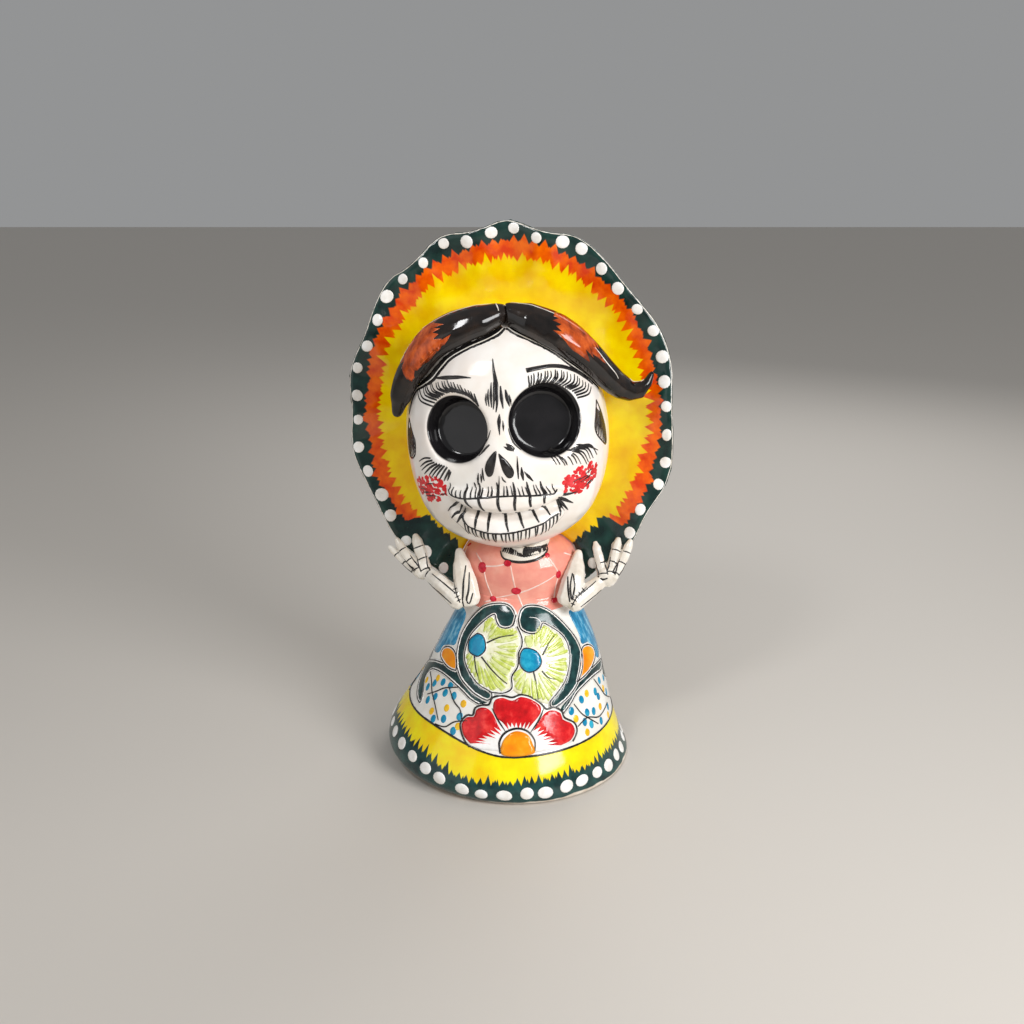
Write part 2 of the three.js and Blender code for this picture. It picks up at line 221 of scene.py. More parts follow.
# %% Charts
SKIRT_AXIS = (2, 0)  # mm: where the upright axis of the skirt stands on the floor
BODICE_AXIS = (5.5, 6.5)
HEAD_CENTRE = Vector((-0.92, 2.48, 184)) * MM
HEAD_TURN = Matrix.Rotation(math.radians(-5), 3, "Y") @ Matrix.Rotation(math.radians(-5.5), 3, "Z")
BRIM_CENTRE = HEAD_CENTRE + HEAD_TURN @ Vector((1, 27, 6)) * MM
BRIM_TURN = HEAD_TURN @ Matrix.Rotation(math.radians(-8), 3, "X")
BRIM_HALF_WIDTH, BRIM_HALF_HEIGHT = 88, 100.5  # mm
FAR = 150 * MM  # how far from a chart's axis or centre its rays start, which is outside the clay


def bearing(degrees):
    """The level direction at an angle round an upright axis: 0 is her front, 90 her left."""
    return Vector((math.sin(math.radians(degrees)), -math.cos(math.radians(degrees)), 0))


def on_head(lon, lat):
    """Longitude and latitude on the head in degrees, from the middle of the face."""
    out = bearing(lon) * math.cos(math.radians(lat)) + Vector((0, 0, math.sin(math.radians(lat))))
    out = HEAD_TURN @ out
    return HEAD_CENTRE + out * FAR, -out


def on_skirt(angle, height):
    """An angle round the skirt's axis in degrees, and a height in mm."""
    return Vector((*SKIRT_AXIS, height)) * MM + bearing(angle) * FAR, -bearing(angle)


def on_bodice(angle, height):
    return Vector((*BODICE_AXIS, height)) * MM + bearing(angle) * FAR, -bearing(angle)


def on_brim(turn, share, side=-1):
    """A turn in degrees from her left, and a share of the way out to the brim's edge."""
    x = share * BRIM_HALF_WIDTH * math.cos(math.radians(turn))
    z = share * BRIM_HALF_HEIGHT * math.sin(math.radians(turn))
    return BRIM_CENTRE + BRIM_TURN @ (Vector((x, side * 100, z)) * MM), BRIM_TURN @ Vector((0, -side, 0))


def on_brim_back(turn, share):
    return on_brim(turn, share, side=1)


def from_front(x, height):
    """Straight back from the front, by mm to her left and mm up."""
    return Vector((x, -150, height)) * MM, Vector((0, 1, 0))


class Canvas:
    """A piece of clay, with the chart that the brush reads it by."""

    def __init__(self, pieces, chart):
        points, faces = [], []
        for piece in pieces if isinstance(pieces, list) else [pieces]:
            faces += [[len(points) + k for k in face.vertices] for face in piece.data.polygons]
            points += [vertex.co.copy() for vertex in piece.data.vertices]
        self.clay = BVHTree.FromPolygons(points, faces)
        self.chart = chart

    def at(self, u, v):
        point, normal, _, _ = self.clay.ray_cast(*self.chart(u, v))
        return point, normal

    def near(self, point):
        spot, normal, _, _ = self.clay.find_nearest(point)
        return spot, normal


# %% [markdown]
# ## Strokes and patches
#
# A brush stroke is a thin ribbon that is widest where the brush was pressed. A patch of glaze is a flat
# sheet cut to an outline, thin at its edge because the glaze draws back there. Both are closed below the
# surface of the clay. Paint of one colour on one piece is one object, which is fired, as on a real figure,
# when its last stroke is on.

# %% Curves through a few points
LAYER = 0.13  # mm that each coat stands over the one under it
SUNK = 0.35  # mm that paint reaches into the clay, so that no edge of it lifts
THIN_EDGE = 0.35  # share of a coat that is left at the edge of a patch, where the glaze draws back
TUCK = 0.04  # mm that the two edges of a stroke dip under the clay
DOT_SIDES = 14


def through(points, step, closed=False):
    """A smooth line through the points, flat or in space, with a new point every step."""
    points = [Vector(point) for point in points]
    count = len(points)
    last = count if closed else count - 1
    line = []
    for i in range(last):
        ends = [i - 1, i, i + 1, i + 2]
        ends = [e % count for e in ends] if closed else [min(max(e, 0), count - 1) for e in ends]
        a, b, c, d = (points[e] for e in ends)
        parts = max(1, round((c - b).length / step))
        for part in range(parts):
            t = part / parts
            bend, twist = 2 * a - 5 * b + 4 * c - d, 3 * b - a - 3 * c + d
            line.append(0.5 * (2 * b + (c - a) * t + bend * t**2 + twist * t**3))
    return line if closed else line + [points[-1]]


def inside(spot, outline):
    """Whether a flat point is inside a closed outline."""
    odd = False
    for i, a in enumerate(outline):
        b = outline[i - 1]
        if (a.y > spot.y) != (b.y > spot.y) and spot.x < (b.x - a.x) * (spot.y - a.y) / (b.y - a.y) + a.x:
            odd = not odd
    return odd


# %% Paint
def closed_piece(name, points, faces):
    """A smooth object from its points and faces, all of them turned outwards."""
    mesh = bpy.data.meshes.new(name)
    mesh.from_pydata(points, [], faces)
    piece = bpy.data.objects.new(name, mesh)
    bpy.context.collection.objects.link(piece)
    only(piece)
    bpy.ops.object.mode_set(mode="EDIT")
    bpy.ops.mesh.select_all(action="SELECT")
    bpy.ops.mesh.normals_make_consistent(inside=False)
    bpy.ops.object.mode_set(mode="OBJECT")
    bpy.ops.object.shade_smooth()
    return piece


class Paint:
    """All the paint of one colour on one piece of clay."""

    def __init__(self, name, canvas, coat=0):
        self.name, self.canvas, self.coat = name, canvas, coat
        self.points, self.faces = [], []

    def stroke(self, spots, width, press=(0.35, 1, 1, 0.35), step=1.3, wobble=0.0):
        """One stroke through chart spots or points in space. press is how its width changes along it."""
        hits = [self.canvas.near(spot) if len(spot) == 3 else self.canvas.at(*spot) for spot in spots]
        hits = [point for point, normal in hits if point]
        if len(hits) < 2:
            return
        line = through(hits, step * MM)
        base = self.coat * LAYER * MM
        rings = []
        for i, middle in enumerate(line):
            share = i / (len(line) - 1) * (len(press) - 1)
            low = min(int(share), len(press) - 2)
            reach = width / 2 * MM * (press[low] + (press[low + 1] - press[low]) * (share - low))
            reach *= 1 + random.uniform(-wobble, wobble)
            along = line[min(i + 1, len(line) - 1)] - line[max(i - 1, 0)]
            middle, normal = self.canvas.near(middle)
            across = along.cross(normal).normalized() * reach
            ring = []
            for side, lift in ((-1, -TUCK), (-0.5, LAYER), (0.5, LAYER), (1, -TUCK)):
                spot, up = self.canvas.near(middle + across * side)
                ring.append(spot + up * (base + lift * MM))
            ring.append(middle - normal * SUNK * MM)
            rings.append(ring)
        start = len(self.points)
        for ring in rings:
            self.points += ring
        sides = len(rings[0])
        for i in range(len(rings) - 1):
            for k in range(sides):
                a, b = start + i * sides + k, start + i * sides + (k + 1) % sides
                self.faces.append((a, b, b + sides, a + sides))
        self.faces.append(tuple(start + k for k in reversed(range(sides))))
        self.faces.append(tuple(start + (len(rings) - 1) * sides + k for k in range(sides)))

    def patch(self, outline, grain=1.6, smooth=True, height=1.0):
        """A sheet of glaze inside an outline of chart spots. grain is the size of its faces in mm."""
        flat = [Vector(spot) for spot in outline]
        middle = sum(flat, Vector((0, 0))) / len(flat)
        size = Vector([(max(p[k] for p in flat) - min(p[k] for p in flat)) / 4 for k in (0, 1)])
        here = self.canvas.at(*middle)[0]
        scale = Vector((
            (self.canvas.at(middle.x + size.x, middle.y)[0] - here).length / size.x / MM,
            (self.canvas.at(middle.x, middle.y + size.y)[0] - here).length / size.y / MM,
        ))
        flat = [Vector((p.x * scale.x, p.y * scale.y)) for p in flat]
        if smooth:
            flat = through(flat, grain * 0.6, closed=True)
        spots = list(flat)
        low = Vector((min(p.x for p in flat), min(p.y for p in flat)))
        high = Vector((max(p.x for p in flat), max(p.y for p in flat)))
        for row in range(1, int((high.y - low.y) / grain) + 1):
            for column in range(int((high.x - low.x) / grain) + 2):
                spot = low + Vector(((column - 0.5 * (row % 2)) * grain, row * grain))
                clear = min((spot - p).length for p in flat) > 0.55 * grain
                if clear and inside(spot, flat):
                    spots.append(spot)
        corners, _, faces, sources, _, _ = delaunay_2d_cdt(spots, [], [list(range(len(flat)))], 1, 1e-4)
        start = len(self.points)
        base = self.coat * LAYER
        tops, bottoms = [], []
        for corner, source in zip(corners, sources):
            point, normal = self.canvas.at(corner.x / scale.x, corner.y / scale.y)
            if point is None:
                point, normal = self.canvas.near(tops[-1] if tops else here)
            rim = any(index < len(flat) for index in source)
            tops.append(point + normal * MM * (base + (THIN_EDGE if rim else height) * LAYER))
            bottoms.append(point - normal * MM * SUNK)
        self.points += tops + bottoms
        count = len(tops)
        used = {}
        for face in faces:
            self.faces.append(tuple(start + i for i in face))
            self.faces.append(tuple(start + count + i for i in reversed(face)))
            for i, a in enumerate(face):
                used[(face[i - 1], a)] = True
        for a, b in used:
            if (b, a) not in used:
                self.faces.append((start + b, start + a, start + count + a, start + count + b))

    def dot(self, u, v, wide, tall=None, turn=0.0, proud=0.25):
        """A round drop of glaze: a low dome of four rings and a top, closed under the clay."""
        point, normal = self.canvas.at(u, v)
        if point is None:
            return
        tall = tall or wide
        side = normal.cross(Vector((0, 0, 1))).normalized()
        side = Matrix.Rotation(math.radians(turn), 3, normal) @ side
        up = side.cross(normal)
        start = len(self.points)
        sides = DOT_SIDES
        lift = self.coat * LAYER
        for share, rise in ((1.0, -SUNK), (1.0, 0.02), (0.86, 0.55 * proud), (0.5, 0.9 * proud)):
            for k in range(sides):
                a = 2 * math.pi * k / sides
                flat = point + (side * math.cos(a) * wide + up * math.sin(a) * tall) * share * MM / 2
                spot, over = self.canvas.near(flat)
                self.points.append(spot + over * (rise + lift) * MM)
        self.points.append(point + normal * (proud + lift) * MM)
        for row in range(3):
            for k in range(sides):
                a, b = start + row * sides + k, start + row * sides + (k + 1) % sides
                self.faces.append((a, b, b + sides, a + sides))
        for k in range(sides):
            last = start + 3 * sides
            self.faces.append((last + k, last + (k + 1) % sides, start + 4 * sides))
        self.faces.append(tuple(start + k for k in reversed(range(sides))))

    def fire(self, material, slot):
        """Makes the object and hands it to the part."""
        piece = closed_piece(self.name, self.points, self.faces)
        piece.data.materials.append(material)
        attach(piece, "root")
        print(self.name, len(piece.data.polygons), "faces")


random.seed(7)

# %% [markdown]
# ## Glazes
#
# The glaze is a coloured glass, 0.1 to 0.2 mm thick, brushed on and melted at about 1050 degrees. So it has
# an index of refraction of 1.5 and a wet gloss, its surface rolls a little, and its colour is deeper where
# it pooled and paler where the brush ran dry. One function makes the glass, and another gives it one
# colour in three shades.

# %% Glaze colours
GLASS_IOR = 1.5


def per_mm(size):
    """A noise scale that makes its patches about this many millimetres across."""
    return 1 / (size * MM)


def wet_glass(name, paint, gloss=0.12, roll=0.12, ripple=4.5, stretch=(1, 1, 1)):
    """A glossy glaze with a gently rolling surface. paint gives the colour at the Object coordinates."""
    material = bpy.data.materials.new(name)
    material.use_nodes = True
    tree = material.node_tree
    shader = tree.nodes["Principled BSDF"]
    shader.inputs["Roughness"].default_value = gloss
    shader.inputs["IOR"].default_value = GLASS_IOR
    place = add(tree, "ShaderNodeTexCoord").outputs["Object"]
    place = add(tree, "ShaderNodeMapping", {"Vector": place, "Scale": stretch}).outputs[0]
    tree.links.new(paint(tree, place), shader.inputs["Base Color"])
    rolling = add(tree, "ShaderNodeTexNoise", {"Vector": place, "Scale": per_mm(ripple), "Detail": 2})
    bump = add(tree, "ShaderNodeBump", {"Height": rolling.outputs["Fac"], "Strength": roll,
                                        "Distance": 0.4 * MM})
    tree.links.new(bump.outputs["Normal"], shader.inputs["Normal"])
    return material


def glaze(name, deep, body, pale, patch=9.0, gloss=0.13, stretch=(1, 1, 1), contrast=0.2, roll=0.12):
    """Brushed glaze of one colour, in patches of three shades. stretch below 1 draws them out."""

    def paint(tree, place):
        pools = add(tree, "ShaderNodeTexNoise", {"Vector": place, "Scale": per_mm(patch), "Detail": 4,
                                                 "Roughness": 0.6})
        ramp = add(tree, "ShaderNodeValToRGB", {"Fac": pools.outputs["Fac"]})
        stops = ramp.color_ramp.elements
        stops[0].position, stops[1].position = 0.5 - contrast, 0.5 + contrast
        stops[0].color, stops[1].color = colour(deep), colour(pale)
        stops.new(0.5).color = colour(body)
        return ramp.outputs["Color"]

    return wet_glass(name, paint, gloss, roll, ripple=3.5, stretch=stretch)


INK = glaze("black_line_glaze", "#171514", "#232122", "#3A3835", patch=5)
WHITE = glaze("white_tin_glaze", "#E4DFD6", "#F6F3EE", "#FFFFFF", patch=8)
CREAM = glaze("cream_glaze", "#E6E3B4", "#F6F5D8", "#FFFFF2", patch=7)
BONE = glaze("bone_glaze_patch", "#DDD2C2", "#EDE6DA", "#FAF7F1", patch=10)
GREEN = glaze("bottle_green_glaze", "#0B2022", "#16393A", "#2A5553", patch=6)
BLUE_SPOT = glaze("turquoise_blue_glaze", "#0579A6", "#028EB7", "#2FB0CF", patch=6)
BLUE_WASH = glaze("blue_brushed_glaze", "#1B6A93", "#2E8FBC", "#93CFE4", patch=3.2, stretch=(1, 1, 0.12))
ORANGE = glaze("orange_glaze", "#F58200", "#FC9C02", "#FFB325", patch=9)
RED = glaze("poppy_red_glaze", "#B00B12", "#D9121A", "#F4453F", patch=6)
DOT_RED = glaze("crimson_dot_glaze", "#A30B22", "#C8102E", "#DD3046", patch=4)
ROUGE = glaze("rouge_red_glaze", "#C01018", "#DC1A22", "#F0484E", patch=3)
LEAF_WASH = glaze("yellow_green_wash", "#CBD879", "#DFE6A0", "#F3F5CF", patch=3)
LEAF_YELLOW = glaze("yellow_green_glaze", "#B2C23F", "#C9D75F", "#E2E996", patch=3)
YELLOW_DOT = glaze("yellow_dot_glaze", "#E9A800", "#F8C41A", "#FFDC4A", patch=4)
RUST = glaze("rust_hair_glaze", "#7A2B08", "#B84A14", "#DA6526", patch=4, stretch=(1, 1, 0.5))
SHELL_PINK = glaze("pale_pink_line_glaze", "#F4C4B4", "#FADACE", "#FFF0E8", patch=5)

# %% [markdown]
# ## Glaze in bands
#
# The hem of the skirt and the brim of the hat are painted in rings, and each ring ends in flames that the
# brush flicked into the next. Hundreds of flames would be heavy as geometry and have no thickness of their
# own, because the two glazes melted together. So they are mixed in the material: an angle round the piece
# is cut into slots, a random number gives each slot its flame's length, and the flame narrows to its tip.

# %% Flames
def maths(tree, operation, a, b=0.0, c=0.0):
    """The result of one sum on numbers or sockets."""
    return add(tree, "ShaderNodeMath", {0: a, 1: b, 2: c}, operation=operation).outputs[0]


def flames(tree, turns, count, longest, seed):
    """Flame length round a ring: turns is 0 to 1 round it, and the answer is in the units of longest.

    Two rows are laid over each other, the second one denser and shorter.
    """
    total = 0.0
    for share, slots in ((1.0, count), (0.6, round(count * 1.7))):
        place = maths(tree, "MULTIPLY", turns, slots)
        slot = maths(tree, "FLOOR", place)
        chance = add(tree, "ShaderNodeTexWhiteNoise", {"W": maths(tree, "ADD", slot, seed)},
                     noise_dimensions="1D")
        middle = maths(tree, "SUBTRACT", maths(tree, "SUBTRACT", place, slot), 0.5)
        narrow = maths(tree, "MULTIPLY_ADD", maths(tree, "ABSOLUTE", middle), -2.0, 1.0)
        length = maths(tree, "MULTIPLY_ADD", chance.outputs["Value"], 0.7, 0.3)
        flame = maths(tree, "MULTIPLY", maths(tree, "MULTIPLY", narrow, length), longest * share)
        total = maths(tree, "MAXIMUM", total, flame)
    return total


def rise(tree, value, low, high, top=1.0, kind="SMOOTHSTEP"):
    """From 0 where value is at low to top where it is at high."""
    return add(tree, "ShaderNodeMapRange", {"Value": value, "From Min": low, "From Max": high,
                                            "To Max": top}, interpolation_type=kind).outputs[0]


def over(tree, edge, place, under, upper, soft):
    """Where place passes edge, the upper colour covers the under colour, across a soft melted edge."""
    gap = maths(tree, "SUBTRACT", place, edge)
    share = rise(tree, gap, -soft, soft, kind="LINEAR")
    return add(tree, "ShaderNodeMix", {0: share, 6: under, 7: upper}, data_type="RGBA").outputs[2]


def shades(tree, place, deep, pale, patch, seed=0.0, stretch=(1, 1, 1)):
    """A colour that drifts between two shades, as brushed glaze does."""
    moved = add(tree, "ShaderNodeMapping", {"Vector": place, "Location": (seed, 0, 0), "Scale": stretch})
    noise = add(tree, "ShaderNodeTexNoise", {"Vector": moved.outputs[0], "Scale": per_mm(patch),
                                             "Detail": 5})
    drift = rise(tree, noise.outputs["Fac"], 0.32, 0.68, kind="LINEAR")
    mix = {0: drift, 6: colour(deep), 7: colour(pale)}
    return add(tree, "ShaderNodeMix", mix, data_type="RGBA").outputs[2]


# %% The skirt's rings
HEM_GREEN = 12.0  # mm: where the green ring's flames start
HEM_YELLOW = 25.2  # mm: top of the yellow ring
HEM_FLAMES, HEM_FLAME_LENGTH = 104, 6.5  # how many round the ring, and mm
DOT_HEIGHT = 7.5  # mm
# The rings and the dots climb on her right side, by these mm between these shares of the way round to it.
GREEN_LIFT, GREEN_LIFT_FROM, GREEN_LIFT_TO = 10.0, 0.25, 1.05
YELLOW_LIFT, YELLOW_LIFT_FROM, YELLOW_LIFT_TO = 8.0, 0.0, 0.85
DOT_LIFT = 11.0


def smooth_step(value, low, high):
    t = min(max((value - low) / (high - low), 0), 1)
    return t * t * (3 - 2 * t)


def hem_dot_height(angle):
    right = -math.sin(math.radians(angle))
    return DOT_HEIGHT + DOT_LIFT * smooth_step(right, GREEN_LIFT_FROM, GREEN_LIFT_TO)


def yellow_top(angle):
    right = -math.sin(math.radians(angle))
    return HEM_YELLOW + YELLOW_LIFT * smooth_step(right, YELLOW_LIFT_FROM, YELLOW_LIFT_TO)


def paint_skirt(tree, place):
    x, y, z = add(tree, "ShaderNodeSeparateXYZ", {0: place}).outputs
    x = maths(tree, "SUBTRACT", x, SKIRT_AXIS[0] * MM)
    angle = maths(tree, "ARCTAN2", y, x)
    turns = maths(tree, "MULTIPLY_ADD", angle, 1 / (2 * math.pi), 0.5)
    level = add(tree, "ShaderNodeCombineXYZ", {0: x, 1: y}).outputs[0]
    away = add(tree, "ShaderNodeVectorMath", {0: level}, operation="NORMALIZE").outputs[0]
    right = maths(tree, "MULTIPLY", add(tree, "ShaderNodeSeparateXYZ", {0: away}).outputs[0], -1.0)
    green_lift = rise(tree, right, GREEN_LIFT_FROM, GREEN_LIFT_TO, GREEN_LIFT * MM)
    yellow_lift = rise(tree, right, YELLOW_LIFT_FROM, YELLOW_LIFT_TO, YELLOW_LIFT * MM)
    tips = flames(tree, turns, HEM_FLAMES, HEM_FLAME_LENGTH * MM, 3.0)
    green_edge = maths(tree, "ADD", maths(tree, "ADD", tips, green_lift), HEM_GREEN * MM)
    wander = add(tree, "ShaderNodeTexNoise", {"Vector": place, "Scale": per_mm(14)}).outputs["Fac"]
    bare_edge = maths(tree, "MULTIPLY_ADD", wander, 4.5 * MM, 0.2 * MM)
    clay = shades(tree, place, "#C9B8A4", "#E6DCCD", 5)
    green = shades(tree, place, "#0E2A2B", "#24504C", 7)
    yellow = shades(tree, place, "#F8CE00", "#FBF000", 12, seed=0.3)
    white = shades(tree, place, "#ECE7DC", "#FBFAF6", 12, seed=0.7)
    paint = over(tree, bare_edge, z, clay, green, 0.25 * MM)
    paint = over(tree, green_edge, z, paint, yellow, 0.35 * MM)
    yellow_edge = maths(tree, "ADD", yellow_lift, HEM_YELLOW * MM)
    return over(tree, yellow_edge, z, paint, white, 0.3 * MM)


SKIRT_GLAZE = wet_glass("glazed_earthenware_skirt", paint_skirt)

# %% The hat's rings
GREEN_FROM, GREEN_FLAMES = 0.89, 92  # share of the way out where the flames start, and how many
ORANGE_FROM, ORANGE_FLAMES = 0.8, 96


def paint_brim(tree, place):
    turned = BRIM_TURN.to_euler()
    size = (BRIM_HALF_WIDTH * MM, BRIM_HALF_WIDTH * MM, BRIM_HALF_HEIGHT * MM)
    flat = add(tree, "ShaderNodeMapping",
               {"Vector": place, "Location": BRIM_CENTRE, "Rotation": turned, "Scale": size},
               vector_type="TEXTURE").outputs[0]
    x, y, z = add(tree, "ShaderNodeSeparateXYZ", {0: flat}).outputs
    turns = maths(tree, "MULTIPLY_ADD", maths(tree, "ARCTAN2", z, x), 1 / (2 * math.pi), 0.5)
    out = maths(tree, "SQRT", maths(tree, "ADD", maths(tree, "MULTIPLY", x, x),
                                    maths(tree, "MULTIPLY", z, z)))
    wander = add(tree, "ShaderNodeTexNoise", {"Vector": place, "Scale": per_mm(22)}).outputs["Fac"]
    sway = maths(tree, "MULTIPLY_ADD", wander, 0.05, -0.025)
    far = maths(tree, "SUBTRACT", out, sway)
    # Low down, behind each hand, the green comes further in, and there are no orange flames.
    low = maths(tree, "ABSOLUTE", maths(tree, "ADD", maths(tree, "ARCTAN2", z, x), math.radians(93)))
    near = rise(tree, low, math.radians(20), math.radians(29))
    beyond = rise(tree, low, math.radians(50), math.radians(44))
    blob = maths(tree, "MULTIPLY", near, beyond)
    under = rise(tree, low, math.radians(46), math.radians(38), 0.3, kind="LINEAR")
    green_edge = maths(tree, "ADD", flames(tree, turns, GREEN_FLAMES, 0.05, 11.0), GREEN_FROM)
    green_edge = maths(tree, "MULTIPLY_ADD", blob, -0.125, green_edge)
    orange_edge = maths(tree, "ADD", flames(tree, turns, ORANGE_FLAMES, 0.075, 29.0), ORANGE_FROM)
    orange_edge = maths(tree, "ADD", orange_edge, under)
    yellow = shades(tree, place, "#E9B400", "#FBE000", 15, seed=0.1)
    orange = shades(tree, place, "#D83A00", "#F87000", 6, seed=0.5)
    green = shades(tree, place, "#0B2220", "#1C3F38", 8)
    paint = over(tree, orange_edge, far, yellow, orange, 0.005)
    return over(tree, green_edge, far, paint, green, 0.004)


HAT_GLAZE = wet_glass("glazed_earthenware_hat", paint_brim, gloss=0.14, roll=0.2)

# %% [markdown]
# ## The face's glaze
#
# The skull has a warm white tin glaze with some browner stains, and each blind socket is filled with black
# glaze up to its lip. The black is where a round tube along the way that the socket faces meets the skull,
# so its edge is as crisp as the painted one.

# %% Face
SOCKETS = [
    # place of the mouth's middle on the head in mm, way that it faces, radius of the black in mm
    ("right", (-21.0, -42.3, 16.3), (-12, 11), 17.0),
    ("left", (24.7, -40.9, 17.9), (15, 12), 18.6),
]


def paint_face(tree, place):
    paint = shades(tree, place, "#EADFCE", "#FCF9F5", 16, seed=0.2)
    flush = shades(tree, place, "#F3E4DA", "#FDFBF8", 24, seed=0.9)
    paint = add(tree, "ShaderNodeMix", {0: 0.5, 6: paint, 7: flush}, data_type="RGBA").outputs[2]
    for side, mouth, (lon, lat), radius in SOCKETS:
        facing = bearing(lon) * math.cos(math.radians(lat)) + Vector((0, 0, math.sin(math.radians(lat))))
        turn = (HEAD_TURN @ facing).to_track_quat("Z", "Y").to_euler()
        tube = add(tree, "ShaderNodeMapping",
                   {"Vector": place, "Location": HEAD_CENTRE + HEAD_TURN @ Vector(mouth) * MM,
                    "Rotation": turn},
                   vector_type="TEXTURE").outputs[0]
        x, y, z = add(tree, "ShaderNodeSeparateXYZ", {0: tube}).outputs
        far = maths(tree, "SQRT", maths(tree, "ADD", maths(tree, "MULTIPLY", x, x),
                                        maths(tree, "MULTIPLY", y, y)))
        black = shades(tree, place, "#121113", "#201E20", 12)
        paint = over(tree, far, radius * MM, paint, black, 0.25 * MM)
    return paint


FACE_GLAZE = wet_glass("bone_tin_glaze", paint_face, gloss=0.12, roll=0.1)

# %% Glaze on the clay pieces
PINK = glaze("pink_glaze", "#E88B80", "#F49E8C", "#FAB5A0", patch=13, contrast=0.24)
BLACK_HAIR = glaze("black_hair_glaze", "#0E0C0B", "#1B1614", "#2E221B", patch=9, gloss=0.1, roll=0.16)


def finish(piece, material, *nodes):
    piece.data.materials.append(material)
    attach(piece, "root")
    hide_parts(*nodes)


finish(skirt, SKIRT_GLAZE, "skirt")
finish(face, FACE_GLAZE, "skull", "upper_teeth", "lower_teeth")
finish(bodice, PINK, "bodice")
finish(neck, BONE, "neck")
finish(brim, HAT_GLAZE, "hat_brim")
finish(crown, HAT_GLAZE, "hat_crown")
finish(right_lock, BLACK_HAIR, "right_hair_lock")
finish(left_lock, BLACK_HAIR, "left_hair_lock")
for side, arm in zip(("right", "left"), arms):
    finish(arm, BONE, *[side + "_" + part for part in ARM_PARTS])

# %% [markdown]
# ## The skirt's painting
#
# Two bottle-green scrolls hold a pair of round cream flowers, and a red poppy rises from the hem below
# them. Beside them are a blue wash, an orange drop, a green leaf, and a white field with spots and scales.
# The same set is painted on her back.

# %% Waist
def seam(name, lower, upper, depth, steps=72, rows=6):
    """A ring of slip, smoothed over the joint between two shells with a wet finger."""
    points, faces = [], []
    for k in range(steps):
        angle = 360 * k / steps
        foot, foot_normal = lower(angle)
        top, top_normal = upper(angle)
        foot_slope = Vector((0, 0, 1)) - foot_normal * foot_normal.z
        top_slope = Vector((0, 0, 1)) - top_normal * top_normal.z
        span = (top - foot).length
        for row in range(rows):
            t = row / (rows - 1)
            rise, reach = t * t * (3 - 2 * t), (t - 2 * t**2 + t**3, t**3 - t**2)
            spot = foot.lerp(top, rise) + (foot_slope * reach[0] + top_slope * reach[1]) * span
            points.append(spot + foot_normal.lerp(top_normal, t) * 0.12 * MM)
        points.append(top - top_normal * depth * MM)
        points.append(foot - foot_normal * depth * MM)
    ring = rows + 2
    for k in range(steps):
        for row in range(ring):
            a, b = k * ring + row, k * ring + (row + 1) % ring
            c, d = (k + 1) % steps * ring + (row + 1) % ring, (k + 1) % steps * ring + row
            faces.append((a, b, c, d))
    return closed_piece(name, points, faces)


SKIRT_TOP, BODICE_FOOT = 91.8, 98.5  # mm: heights that the slip runs between
skirt_end, bodice_end = Canvas(skirt, on_skirt), Canvas(bodice, on_skirt)
waist = seam("waist_slip", lambda angle: skirt_end.at(angle, SKIRT_TOP),
             lambda angle: bodice_end.at(angle, BODICE_FOOT), depth=2.0)
waist.data.materials.append(PINK)
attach(waist, "root")

# %% Skirt canvas
bell = Canvas([skirt, waist, bodice], on_skirt)
cream_flowers = Paint("cream_flowers", bell, coat=0)
blue_washes = Paint("blue_washes", bell, coat=0)
scrolls = Paint("green_scrolls", bell, coat=0)
pale_rays = Paint("pale_green_rays", bell, coat=1)
yellow_rays = Paint("yellow_green_rays", bell, coat=2)
turquoise_spots = Paint("turquoise_flower_hearts", bell, coat=2)
drops = Paint("orange_drops", bell, coat=0)
poppy_white = Paint("poppy_white", bell, coat=0)
poppy_red = Paint("poppy_red", bell, coat=1)
poppy_heart = Paint("poppy_heart", bell, coat=2)
blue_dots = Paint("blue_skirt_dots", bell, coat=0)
yellow_dots = Paint("yellow_skirt_dots", bell, coat=0)
hem_dots = Paint("white_hem_dots", bell, coat=0)
pale_lines = Paint("pale_skirt_lines", bell, coat=1)
outlines = Paint("skirt_outlines", bell, coat=2)

# Outlines as angle round the skirt and height in mm. LEFT and RIGHT are those of somebody who faces her.
LEFT_SCROLL = [(3, 91), (-4, 94.5), (-15, 95.8), (-27, 95.6), (-40, 94.4), (-51, 91.5), (-59, 84.5),
               (-61, 77), (-58, 70), (-53, 64), (-44, 58), (-35, 54.5), (-27, 52), (-18, 50.5), (-16, 54),
               (-27, 57), (-34, 60), (-40, 63), (-46, 67), (-49, 72.5), (-49, 78), (-45, 82.5), (-36, 88),
               (-27, 90.5), (-23, 88), (-17, 85.5), (-9, 85), (-1, 86.5)]
RIGHT_SCROLL = [(6, 89), (10, 93), (19, 95), (33, 95), (44, 93), (52, 88.5), (58, 82), (62, 74.5),
                (62, 67.5), (58, 61), (51, 55.5), (43, 51), (32, 47), (26, 46.3), (25, 49), (32, 53),
                (40, 58), (46, 64), (50, 70), (51, 76), (48, 80.5), (42, 84), (34, 86.8), (29, 84),
                (23, 82.5), (15, 83), (8, 85)]
LEFT_LEAF = [(-69, 37), (-78, 38), (-88, 42), (-97, 48.5), (-83, 56), (-67, 59.7), (-53, 60), (-42, 57.7),
             (-35, 54.5), (-27, 51.5), (-18, 50), (-24, 48), (-31, 49.6), (-38, 52), (-49, 54.5),
             (-64, 55.5), (-78, 52.5), (-81, 47), (-73, 42)]
RIGHT_LEAF = [(88, 55), (78, 57), (67, 57.5), (56, 56), (47, 53), (39, 48.7), (32, 45), (33, 42.3),
              (40, 46), (47, 50), (58, 52.5), (69, 53), (81, 51.5), (88, 53)]
LEFT_DROP = [(-50, 60), (-58, 59.5), (-69, 60.5), (-76, 62), (-76, 65.5), (-69, 68.2), (-60, 68),
             (-53, 64.5)]
